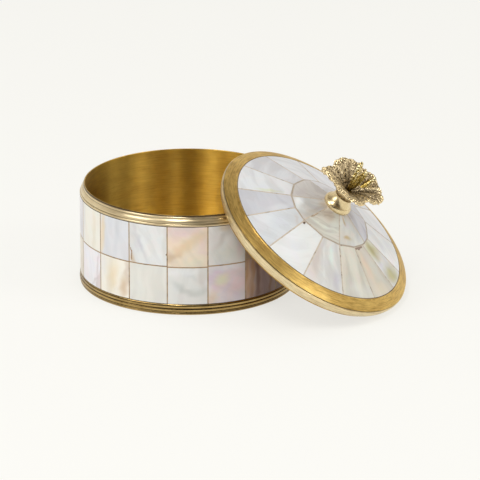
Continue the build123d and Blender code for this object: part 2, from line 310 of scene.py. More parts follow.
# %% Paper floor
PAPER = srgb(248, 247, 242)
FLOOR_RADIUS = 6.0
FLOOR_GAP = 0.03 * MM  # the floor lies just below the box, so the two faces do not flicker
SEEN_SHARE = 0.25  # how much of its own light and shadow the floor shows to the camera
MIRRORED_SHARE = 0.42  # and how much to metal that mirrors it


def direct_rays(tree, light_path):
    """1 for the camera's own rays, also where they came through something clear, and 0 for others."""
    camera_ray, clear_ray = light_path.outputs["Is Camera Ray"], light_path.outputs["Is Transmission Ray"]
    return maths(tree, "MAXIMUM", camera_ray, clear_ray)


def make_floor():
    """A wide paper floor that keeps part of the box's shadow."""
    bpy.ops.mesh.primitive_circle_add(vertices=64, radius=FLOOR_RADIUS, fill_type="NGON",
                                      location=(0, 0, -FLOOR_GAP))
    floor = bpy.context.object
    floor.name = "paper_floor"
    material, tree, shader = new_finish("paper")
    set_shader(tree, shader, Base_Color=PAPER, Roughness=0.9, Specular_IOR_Level=0.1)
    light_path = add(tree, "LightPath")
    seen = maths(tree, "MULTIPLY", direct_rays(tree, light_path), 1 - SEEN_SHARE)
    mirrored = maths(tree, "MULTIPLY", light_path.outputs["Is Glossy Ray"], 1 - MIRRORED_SHARE)
    glow = add(tree, "Emission", {"Color": PAPER, "Strength": 1.0})
    share = maths(tree, "MAXIMUM", seen, mirrored)
    both = add(tree, "MixShader", {0: share, 1: shader.outputs[0], 2: glow.outputs[0]})
    tree.links.new(both.outputs[0], tree.nodes["Material Output"].inputs["Surface"])
    floor.data.materials.append(material)
    return floor


print("floor", make_floor().name, "is", 2 * FLOOR_RADIUS, "m across")

# %% [markdown]
# Pale brass takes its look from what it mirrors, so the surround matters more than the lamps. Behind the
# box it is white paper. On the camera's side it is a dim room with a darker doorway in the middle, which
# is what gives polished metal its dark accents. The camera's own rays always see plain white.

# %% Surround
ROOM_LEVEL = 0.65  # how strongly the room lights things
ROOM_LIGHT = srgb(250, 249, 248)
ROOM_WALL = srgb(148, 141, 133)
ROOM_CEILING = srgb(150, 143, 134)
DOORWAY = srgb(46, 40, 34)
PAPER_BEHIND = srgb(236, 232, 224)


def make_surround():
    """White paper all round for the camera, and a dim room on the camera's side for the metal."""
    world = bpy.data.worlds.new("studio")
    bpy.context.scene.world = world
    world.use_nodes = True
    tree = world.node_tree
    direction = add(tree, "TexCoord").outputs["Generated"]
    parts = add(tree, "SeparateXYZ", {0: direction})
    behind = spread(tree, parts.outputs["Y"], -0.3, 0.35)
    overhead = spread(tree, parts.outputs["Z"], 0.55, 0.85)
    doorway = spread(tree, parts.outputs["Y"], -0.9, -0.78, 1.0, 0.0)
    mirrored = mix(tree, behind, ROOM_WALL, PAPER_BEHIND)
    mirrored = mix(tree, overhead, mirrored, ROOM_CEILING)
    mirrored = mix(tree, doorway, mirrored, DOORWAY)
    light_path = add(tree, "LightPath")
    lit = add(tree, "Background", {"Color": ROOM_LIGHT, "Strength": ROOM_LEVEL}).outputs[0]
    shown = add(tree, "Background", {"Color": mirrored, "Strength": 1.0}).outputs[0]
    white = add(tree, "Background", {"Color": PAPER, "Strength": 1.0}).outputs[0]
    metal = add(tree, "MixShader", {0: light_path.outputs["Is Glossy Ray"], 1: lit, 2: shown}).outputs[0]
    everything = add(tree, "MixShader", {0: direct_rays(tree, light_path), 1: metal, 2: white})
    tree.links.new(everything.outputs[0], tree.nodes["World Output"].inputs["Surface"])
    return world


print("surround:", make_surround().name)

# %% [markdown]
# Two soft boxes light everything, and a third, high up, lights all but the drum. Four narrow strips reach
# only the drum, and draw upright streaks of light down its brushed inside. Which pieces a lamp reaches is
# set by light linking. Blocking the light with black cards, as in a studio, would also shade the tiles.

# %% Lamps
LAMPS = (
    # name, azimuth, elevation, distance, width, height, power
    ("key_softbox", -60, 33, 1.5, 0.6, 0.8, 5.3),
    ("right_softbox", 66, 36, 1.5, 0.5, 0.5, 3.5),
)
HIGH_LAMP = ("high_softbox", -20, 58, 1.7, 0.14, 0.7, 9.0)
STRIPS = (
    ("left_strip", -37, 58, 1.7, 0.12, 0.7, 15.5),
    ("middle_strip", 19, 58, 1.7, 0.04, 0.7, 5.5),
    ("right_strip", 68, 58, 1.7, 0.1, 0.7, 9.5),
    ("side_strip", 108, 44, 1.6, 0.02, 0.6, 6.5),
)


def add_lamp(name, azimuth, elevation, distance, width, height, power):
    """A soft rectangular lamp that looks at the box from an azimuth and elevation in degrees."""
    back = towards(math.radians(azimuth), math.radians(elevation))
    light = bpy.data.lights.new(name, "AREA")
    light.shape = "RECTANGLE"
    light.size, light.size_y, light.energy = width, height, power
    lamp = bpy.data.objects.new(name, light)
    lamp.location = LOOKED_AT + back * distance
    lamp.rotation_euler = back.to_track_quat("Z", "Y").to_euler()
    bpy.context.scene.collection.objects.link(lamp)
    return lamp


def reach(name, state):
    """Which pieces a lamp lights: only the drum if the state is INCLUDE, all but the drum if EXCLUDE."""
    pieces = bpy.data.collections.new(name)
    for node in ("box_wall", "box_floor"):
        pieces.objects.link(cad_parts[node])
    for piece in pieces.collection_objects:
        piece.light_linking.link_state = state
    return pieces


for lamp in LAMPS:
    add_lamp(*lamp)
add_lamp(*HIGH_LAMP).light_linking.receiver_collection = reach("not_the_drum", "EXCLUDE")
drum_only = reach("drum_only", "INCLUDE")
for strip in STRIPS:
    add_lamp(*strip).light_linking.receiver_collection = drum_only
print("lamps:", [lamp[0] for lamp in LAMPS + (HIGH_LAMP,) + STRIPS])

# %% [markdown]
# Brass on this box has been worked in five ways: turned rings, brushed sheet, a polished collar, a cast
# flower and plain fasteners. Turning and brushing leave fine lines that run round the axis. Those lines
# are noise that changes fast across the profile and slowly round it, so it needs the radius, the height
# and the direction from the axis, all in the piece's own space.

# %% Coordinates round an axis
def own_place(tree, space):
    """Object coordinates in millimetres, in a piece's own space."""
    turn, origin = space
    coordinates = add(tree, "TexCoord").outputs["Object"]
    return add(tree, "Mapping", {"Vector": coordinates, "Location": -(turn @ origin),
                                 "Rotation": Matrix(turn).to_euler(), "Scale": (1 / MM,) * 3},
               vector_type="POINT").outputs[0]


def height_of(tree, place):
    """How high a place is along the axis."""
    return add(tree, "SeparateXYZ", {0: place}).outputs["Z"]


def flattened(tree, place):
    """A place without its height."""
    return vectors(tree, "MULTIPLY", place, (1, 1, 0))


def radius_of(tree, place):
    """How far a place is from the axis."""
    return add(tree, "VectorMath", {0: flattened(tree, place)}, operation="LENGTH").outputs["Value"]


def round_lines(tree, place, per_turn, per_mm, slant=0.73):
    """A place for noise whose lines run round the axis: slow along them and fast across them."""
    heading = vectors(tree, "NORMALIZE", flattened(tree, place))
    across = maths(tree, "MULTIPLY_ADD", height_of(tree, place), slant, radius_of(tree, place))
    lift = add(tree, "CombineXYZ", {2: maths(tree, "MULTIPLY", across, per_mm)}).outputs[0]
    return vectors(tree, "ADD", vectors(tree, "MULTIPLY", heading, (per_turn,) * 3), lift)


def round_tangent(tree, place, space):
    """The direction round the axis, which is the way the brush went."""
    turn, _ = space
    across = vectors(tree, "CROSS_PRODUCT", (0.0, 0.0, 1.0), place)
    back = add(tree, "VectorRotate", {"Vector": across, "Rotation": Matrix(turn.T).to_euler()},
               rotation_type="EULER_XYZ").outputs[0]
    return vectors(tree, "NORMALIZE", back)


print("a space is", len(BOX), "things: how it is turned and where its middle is")

# %% [markdown]
# One function makes every turned or brushed brass. Its colour is a clean and a tarnished tone mixed by slow
# clouds; its roughness and a very shallow bump follow the round lines. Each piece gets its own tones,
# roughness and depth of line, because the drum, the rings and the lid's ring were not finished alike.
# Tarnish also gathers where a cloth cannot reach, and shade falls in grooves, so a piece may have dark lines
# at given heights that paint both. The drum's outside above the top ring is painted dark too, as shade.

# %% Turned and brushed brass
ACROSS = 0.25  # a quarter turn: brushed metal spreads a highlight across its lines
WHITE = srgb(255, 255, 255)
LINE_TARNISH = srgb(186, 178, 166)
GROOVE_TARNISH_AND_SHADE = srgb(60, 44, 24)
# The neck is the drum's outside between the top ring and the rim; its dark tone is painted shade in that gap.
NECK_EDGE = (0.25, 0.1)  # the neck's dull tone begins and is full this far inside its radius


def turned_brass(name, space, clean, tarnished, roughness, line_depth, tarnish=0.5, stretch=0.0,
                 lines_per_turn=14.0, lines_per_mm=1.6, contrast=0.8, dark_heights=(), dark_width=0.16,
                 dark_share=0.8, metal=1.0, below=None, neck=None):
    """Brass with lines round its axis. Line depth, heights and widths are in millimetres. A dark line of
    tarnish and painted shade lies at each of `dark_heights`, `dark_width` to each side, and covers
    `dark_share` of the brass. `below` gives a height with the clean and tarnished tones and the roughness
    that the piece has under it, and `neck` a radius outside which the brass is painted dark as shade, with
    the tone there."""
    material, tree, shader = new_finish(name)
    place = own_place(tree, space)
    height = height_of(tree, place)
    if below:
        level, low_clean, low_tarnished, low_roughness = below
        under = maths(tree, "LESS_THAN", height, level)
        clean, tarnished = mix(tree, under, clean, low_clean), mix(tree, under, tarnished, low_tarnished)
        roughness = maths(tree, "MULTIPLY_ADD", under, low_roughness - roughness, roughness)
    fine = speckle(tree, round_lines(tree, place, lines_per_turn, lines_per_mm), 1.0, 4.0, 0.65)
    broad = speckle(tree, round_lines(tree, place, 3.0, 0.35), 1.0, 2.0)
    clouds = speckle(tree, place, 0.09, 4.0, 0.6, 0.4)
    uneven = maths(tree, "MULTIPLY_ADD", broad, 0.4, maths(tree, "MULTIPLY", clouds, 0.6))
    share = spread(tree, uneven, 0.36, 0.66, 0.0, tarnish)
    colour = mix(tree, share, clean, tarnished)
    colour = tinted(tree, contrast, colour, ramp(tree, fine, (0.25, LINE_TARNISH), (0.6, WHITE)))
    # Each dark line paints both the tarnish in a groove and the shade that falls in it.
    for dark in dark_heights:
        cover = spread(tree, off_by(tree, height, dark), 0.3 * dark_width, dark_width, dark_share, 0.0)
        colour = mix(tree, cover, colour, GROOVE_TARNISH_AND_SHADE)
    # The neck's dark tone is painted shade, not a finish of the brass.
    if neck:
        edge, dull = neck
        outermost = spread(tree, radius_of(tree, place), edge - NECK_EDGE[0], edge - NECK_EDGE[1])
        colour = mix(tree, outermost, colour, dull)
    rough = maths(tree, "MULTIPLY_ADD", maths(tree, "SUBTRACT", fine, 0.5), 0.24, roughness, clamp=True)
    rough = maths(tree, "MULTIPLY_ADD", share, 0.12, rough, clamp=True)
    set_shader(tree, shader, Base_Color=colour, Metallic=metal, Roughness=rough,
               Normal=raised(tree, fine, line_depth))
    if stretch:
        set_shader(tree, shader, Anisotropic=stretch, Anisotropic_Rotation=ACROSS,
                   Tangent=round_tangent(tree, place, space))
    return material


plain_sheet = turned_brass("plain_sheet_brass", LID, srgb(200, 160, 88), srgb(140, 100, 48), 0.4, 0.02)
fasteners = turned_brass("fastener_brass", LID, srgb(206, 178, 112), srgb(140, 108, 60), 0.28, 0.01)
polished = turned_brass("polished_brass", LID, srgb(240, 221, 176), srgb(198, 170, 120), 0.25, 0.002,
                        tarnish=0.35, contrast=0.3)
print("plain finishes:", plain_sheet.name, fasteners.name, polished.name)

# %% [markdown]
# Four finishes need more. The drum is brushed, so it draws a highlight out into a streak. The two turned
# rings hold tarnish and painted shade in their grooves, and the lid's ring is brushed above its groove and
# polished below, with the same dark line of tarnish and painted shade in its groove.
# Heights are measured up from the bottom of the box, or of the lid.

# %% Brass of the drum and the rings
# Heights of grooves that are painted dark, with tarnish and painted shade.
RIM_GROOVES = (43.6, 45.7)
FOOT_GROOVES = (0.95, 1.55, 3.05, 4.4)
LID_GROOVE = 4.5
_, drum_outside, _, _ = calipers("box_wall", BOX)
# The drum's neck tone paints the shade in the narrow gap above the top ring.
drum_brass = turned_brass("brushed_drum_brass", BOX, srgb(206, 172, 80), srgb(166, 128, 48), 0.34, 0.006,
                          stretch=0.97, lines_per_turn=5.0, lines_per_mm=2.6, contrast=0.45, metal=0.97,
                          neck=(drum_outside, srgb(92, 76, 54)))
rim_brass = turned_brass("turned_rim_brass", BOX, srgb(232, 215, 177), srgb(204, 180, 136), 0.3, 0.003,
                         stretch=0.5, lines_per_turn=5.0, lines_per_mm=3.0, contrast=0.35,
                         dark_heights=RIM_GROOVES, dark_width=0.12, dark_share=0.65)
foot_brass = turned_brass("turned_foot_brass", BOX, srgb(196, 167, 108), srgb(128, 101, 56), 0.24, 0.003,
                          lines_per_turn=5.0, lines_per_mm=2.4, contrast=0.5,
                          dark_heights=FOOT_GROOVES, dark_width=0.3, dark_share=0.9)
lid_brass = turned_brass("turned_lid_brass", LID, srgb(238, 204, 122), srgb(190, 150, 78), 0.4, 0.012,
                         stretch=0.4, lines_per_turn=9.0, lines_per_mm=3.2, contrast=1.0,
                         dark_heights=(LID_GROOVE,), dark_width=0.3,
                         below=(LID_GROOVE, srgb(250, 234, 192), srgb(232, 204, 152), 0.36))
FINISHED = (
    (drum_brass, ("box_wall", "box_floor")),
    (rim_brass, ("top_ring",)),
    (foot_brass, ("bottom_ring",)),
    (lid_brass, ("lid_ring",)),
    (plain_sheet, ("lid_lip", "lid_plate")),
    (polished, ("knob_collar",)),
    (fasteners, ("knob_stud", "knob_washer", "knob_nut")),
)
for material, nodes in FINISHED:
    for node in nodes:
        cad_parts[node].data.materials.clear()
        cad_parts[node].data.materials.append(material)
print("brass finishes:", [m.name for m in bpy.data.materials if m.name.endswith("brass")])

# %% [markdown]
# Pearl shell is built up in thin layers, and sawing it flat lays the layers open as soft bands, drifting
# clouds and fine growth lines. Each tile is cut from another shell in another direction, so one material
# serves all of them and the mesh tells it how to look: `grain` is the place in millimetres, already turned
# the way the tile was cut, `shell` is the body colour with its soft stains, `habit` is how strong the
# bands, the rainbow and the growth lines are, and `mark` is a sharp stain or resin-filled chip.

# %% Pearl-shell finish
SHELL_SHADE = srgb(206, 196, 190)
SHELL_LIGHT = srgb(250, 249, 247)
GROWTH_SHADE = srgb(188, 176, 172)
SHELL_DIMMING = srgb(242, 242, 242)
RAINBOW = (
    (0.15, srgb(240, 216, 220)), (0.32, srgb(250, 231, 212)), (0.45, srgb(243, 242, 222)),
    (0.58, srgb(226, 239, 226)), (0.72, srgb(221, 232, 236)), (0.88, srgb(229, 220, 238)),
)
BEND = (6.0, 6.0, 0.0)  # how far slow noise bends the layers, in millimetres
BAND_SCALE = (0.17, 0.035, 1.0)  # bands are a few millimetres wide and much longer
HAIR_SCALE = (1.6, 0.10, 1.0)  # growth lines are finer and long too


def pearl_finish():
    """Pearl shell whose colour, direction and strength of pattern come from the mesh."""
    material, tree, shader = new_finish("pearl_shell")
    grain = add(tree, "Attribute", attribute_name="grain").outputs["Vector"]
    body = add(tree, "Attribute", attribute_name="shell").outputs["Color"]
    habit = add(tree, "SeparateXYZ", {0: add(tree, "Attribute", attribute_name="habit").outputs["Vector"]})
    banding, iridescence, lining = habit.outputs
    mark = add(tree, "Attribute", attribute_name="mark")
    drift = add(tree, "TexNoise", {"Vector": grain, "Scale": 0.07, "Detail": 1.0}).outputs["Color"]
    bent = vectors(tree, "MULTIPLY_ADD", drift, BEND, grain)
    bands = speckle(tree, vectors(tree, "MULTIPLY", bent, BAND_SCALE), 1.0, 2.0, 0.5)
    fine = speckle(tree, vectors(tree, "MULTIPLY", bent, HAIR_SCALE), 1.0, 3.0, 0.6)
    clouds = speckle(tree, bent, 0.16, 3.0, 0.55)

    shade = maths(tree, "MULTIPLY", spread(tree, bands, 0.44, 0.66), banding)
    colour = tinted(tree, shade, body, SHELL_SHADE)
    light = maths(tree, "MULTIPLY", spread(tree, bands, 0.46, 0.30), banding)
    colour = mix(tree, maths(tree, "MULTIPLY", light, 0.3), colour, SHELL_LIGHT)
    hue = maths(tree, "MULTIPLY_ADD", bands, 0.8, maths(tree, "MULTIPLY_ADD", clouds, 1.6, -0.7))
    colour = tinted(tree, iridescence, colour, ramp(tree, hue, *RAINBOW))
    threads = spread(tree, off_by(tree, bands, 0.52), 0.0, 0.015, 1.0, 0.0)
    threads = maths(tree, "MULTIPLY", threads, 0.3)
    lines = maths(tree, "MULTIPLY_ADD", spread(tree, fine, 0.5, 0.75), 0.3, threads)
    colour = tinted(tree, maths(tree, "MULTIPLY", lines, lining), colour, GROWTH_SHADE)
    ragged = speckle(tree, grain, 1.4, 3.0, 0.6)
    edge = maths(tree, "ADD", mark.outputs["Alpha"], maths(tree, "MULTIPLY_ADD", ragged, 0.7, -0.35))
    colour = mix(tree, spread(tree, edge, 0.42, 0.6), colour, mark.outputs["Color"])
    set_shader(tree, shader, Base_Color=tinted(tree, 1.0, colour, SHELL_DIMMING), Roughness=0.34,
               Normal=raised(tree, fine, 0.004), Coat_Weight=0.2, Coat_Roughness=0.16)
    return material


pearl = pearl_finish()
print("pearl shell has", len(pearl.node_tree.nodes), "shader nodes")

# %% [markdown]
# No two tiles are alike: one is cream with a warm stain, another is grey with a dark chip filled with resin.
# A look holds all that for one tile: its body colour, the way it was cut, its habit and its spots. An image
# for each tile could hold it too, but a few soft and sharp spots say it in less and are easy to change.

# %% How a tile looks
CHANCE_SHELLS = (
    (232, 230, 228), (226, 224, 232), (236, 231, 220), (228, 220, 216), (220, 224, 226), (238, 236, 233),
)
CHANCE_TINTS = ((214, 196, 178), (214, 204, 226), (240, 222, 208), (206, 214, 206))
rng = np.random.default_rng(7)


class Look:
    """How one tile looks. Angles in degrees, colours 0 to 255, spots as (s, t, long, short, turn, softness,
    colour, strength) with s and t from 0 to 1 over the tile and the two lengths in millimetres. Sharp spots
    have no strength, since they cover what lies under them."""

    def __init__(self, shell, turn=0.0, habit=(0.5, 0.3, 0.3), soft=(), sharp=()):
        self.shell, self.turn, self.habit, self.soft, self.sharp = shell, turn, habit, soft, sharp


def chance_look():
    """A look for a tile that is seldom seen, with colours and strengths by chance."""
    shell = CHANCE_SHELLS[rng.integers(len(CHANCE_SHELLS))]
    tint = CHANCE_TINTS[rng.integers(len(CHANCE_TINTS))]
    spot = (rng.uniform(0.1, 0.9), rng.uniform(0.1, 0.9), rng.uniform(4, 11), rng.uniform(1.5, 4),
            rng.uniform(-80, 80), 0.7, tint, rng.uniform(0.3, 0.8))
    turn = rng.uniform(-90, 90)
    habit = (rng.uniform(0.2, 0.5), rng.uniform(0.15, 0.4), rng.uniform(0.2, 0.5))
    return Look(shell, turn, habit, (spot,))


print(len(CHANCE_SHELLS), "body colours and", len(CHANCE_TINTS), "tints for tiles that are seldom seen")

# %% [markdown]
# A look is painted on a tile's points, as four attributes. A soft spot is mixed into the body colour. A sharp
# one is kept apart, because the net of points is too coarse for its edge: the mesh only says roughly where
# it lies, and the finish cuts the edge with fine noise. Waves keep the spots from being true ovals.

# %% Paint a look on a mesh
WAVER = (5.0, 0.35)  # a spot's outline wavers over this length and by this much, in millimetres
RESIN_TAN = (150, 118, 84)  # the sharp colour where no sharp spot lies


def waves(across, up, size, height):
    """Smooth uneven numbers over a face, from a few sine waves in chance directions."""
    total = np.zeros_like(across)
    for _ in range(5):
        angle, phase, pitch = rng.uniform(0, 2 * np.pi, 2).tolist() + [size * rng.uniform(0.7, 1.6)]
        total += np.sin(2 * np.pi * (across * np.cos(angle) + up * np.sin(angle)) / pitch + phase)
    return total * height / 2.2


def along_and_aside(x, y, turn):
    """Places measured along a direction, in degrees, and at right angles to it."""
    cosine, sine = math.cos(math.radians(turn)), math.sin(math.radians(turn))
    return x * cosine + y * sine, y * cosine - x * sine


def blot(across, up, spot, width, height):
    """How much of a spot lies on each point: 1 well inside it, 0 outside."""
    s, t, long, short, turn, softness = spot[:6]
    along, aside = along_and_aside(across - s * width, up - t * height, turn)
    off = np.hypot(along / long, aside / short)
    inside = np.clip((1 + softness - off) / (2 * softness), 0, 1)
    return inside * inside * (3 - 2 * inside)


def paint(mesh, across, up, width, height, look, count):
    """The attributes that the pearl finish reads, on each of a mesh's points."""
    x = across + waves(across, up, *WAVER)
    y = up + waves(across, up, *WAVER)
    body = np.tile(srgb(*look.shell), (len(across), 1))
    sharp = np.tile((*srgb(*RESIN_TAN)[:3], 0.0), (len(across), 1))
    for spot in look.soft:
        share = (blot(x, y, spot, width, height) * spot[7])[:, None]
        body = body * (1 - share) + np.array(srgb(*spot[6])) * share
    for spot in look.sharp:
        cover = blot(x, y, spot, width, height)
        sharp[cover > 0.02, :3] = srgb(*spot[6])[:3]
        sharp[:, 3] = np.maximum(sharp[:, 3], cover)
    depth_in_shell = np.full(len(across), rng.uniform(0, 90))
    grain = np.stack([*along_and_aside(across, up, look.turn), depth_in_shell], -1)
    habit = np.tile(look.habit, (len(across), 1))
    layers = (("grain", "FLOAT_VECTOR", "vector", grain), ("shell", "FLOAT_COLOR", "color", body),
              ("habit", "FLOAT_VECTOR", "vector", habit), ("mark", "FLOAT_COLOR", "color", sharp))
    for label, kind, field, values in layers:
        filled = np.concatenate([values, np.repeat(values[:1], count - len(values), 0)])
        mesh.attributes.new(label, kind, "POINT").data.foreach_set(field, filled.ravel())


print("a spot's outline wavers by about", WAVER[1], "mm")

# %% [markdown]
# A tile is a slab: a fine net over its face, walls down to the resin, and an underside that is never seen.
# The net's lines are laid closer together at the edge, where the face rolls over as a ground tile's does.
# The same function makes curved side tiles and conical lid tiles: it is told where each point of a unit
# square falls on the face, and which way is down.

# %% Shell tiles as closed slabs
TILE_THICKNESS = 1.0
EDGE_ROUND = 0.22
NET = 0.5
UNEVEN = (9.0, 0.012)  # a face is uneven over this length and by this much, in millimetres


def net_lines(length):
    """Places from 0 to 1 along an edge: close at both ends, then even."""
    rounded = EDGE_ROUND * np.array([0, 0.25, 0.6, 1.0]) / length
    inner = np.linspace(rounded[-1], 1 - rounded[-1], max(4, round(length / NET)))
    return np.concatenate([rounded[:-1], inner, 1 - rounded[-2::-1]])


def squares(index):
    """The faces between neighbouring points of a grid of point numbers."""
    return np.stack([index[:-1, :-1], index[:-1, 1:], index[1:, 1:], index[1:, :-1]], -1).reshape(-1, 4)


def border(index):
    """The point numbers once round the outside of a grid."""
    return np.concatenate([index[0], index[1:, -1], index[-1, -2::-1], index[-2:0:-1, 0]])


def new_piece(name, vertices, faces, material, space):
    """An object from points in millimetres, given in a piece's own space."""
    mesh = bpy.data.meshes.new(name)
    mesh.from_pydata((out_of(space, vertices) * MM).tolist(), [], faces)
    mesh.materials.append(material)
    made = bpy.data.objects.new(name, mesh)
    bpy.context.scene.collection.objects.link(made)
    return made


def slab(name, face, down, width, height, look, space):
    """One tile. `face` maps s and t to points, `down` gives the way into the resin at those points."""
    s, t = np.meshgrid(net_lines(width), net_lines(height))
    across, up = s * width, t * height
    margins = np.minimum(across, width - across), np.minimum(up, height - up)
    edge = np.minimum(*margins).clip(0, EDGE_ROUND)
    corner = [np.clip(EDGE_ROUND - margin, 0, None) for margin in margins]
    drop = EDGE_ROUND - np.sqrt(np.clip(EDGE_ROUND ** 2 - np.hypot(*corner) ** 2, 0, None))
    drop += waves(across, up, *UNEVEN) * edge / EDGE_ROUND
    points, inward = face(s, t), down(s, t)
    top = points + inward * np.maximum(drop, 0)[..., None]
    under = points + inward * TILE_THICKNESS

    index = np.arange(s.size).reshape(s.shape)
    rim = border(index)
    low = s.size + np.arange(len(rim))
    centre = np.full(len(rim), s.size + len(rim))
    walls = np.stack([rim, low, np.roll(low, -1), np.roll(rim, -1)], -1)
    base = np.stack([low, centre, np.roll(low, -1)], -1)
    faces = squares(index).tolist() + walls.tolist() + base.tolist()
    row, column = s.shape[0] // 2, s.shape[1] // 2
    outward = np.cross(points[row, -1] - points[row, 0], points[-1, column] - points[0, column])
    if outward @ inward[row, column] > 0:
        faces = [corners[::-1] for corners in faces]
    below = under.reshape(-1, 3)[rim]
    vertices = np.concatenate([top.reshape(-1, 3), below, below.mean(0)[None]])

    tile = new_piece(name, vertices, faces, pearl, space)
    tile.data.polygons.foreach_set("use_smooth", [True] * len(faces))
    paint(tile.data, across.ravel(), up.ravel(), width, height, look, len(vertices))
    return tile


print("a tile's net is", NET, "mm wide, its edges roll over", EDGE_ROUND, "mm")

# %% [markdown]
# The side tiles stand in two rows of 17. From the camera's side seven columns and the lower part of an eighth
# are seen, and these get looks of their own. The others get one by chance, as the maker's box of offcuts
# would give. The columns are numbered as in the construction model, where the leftmost seen is number 17.

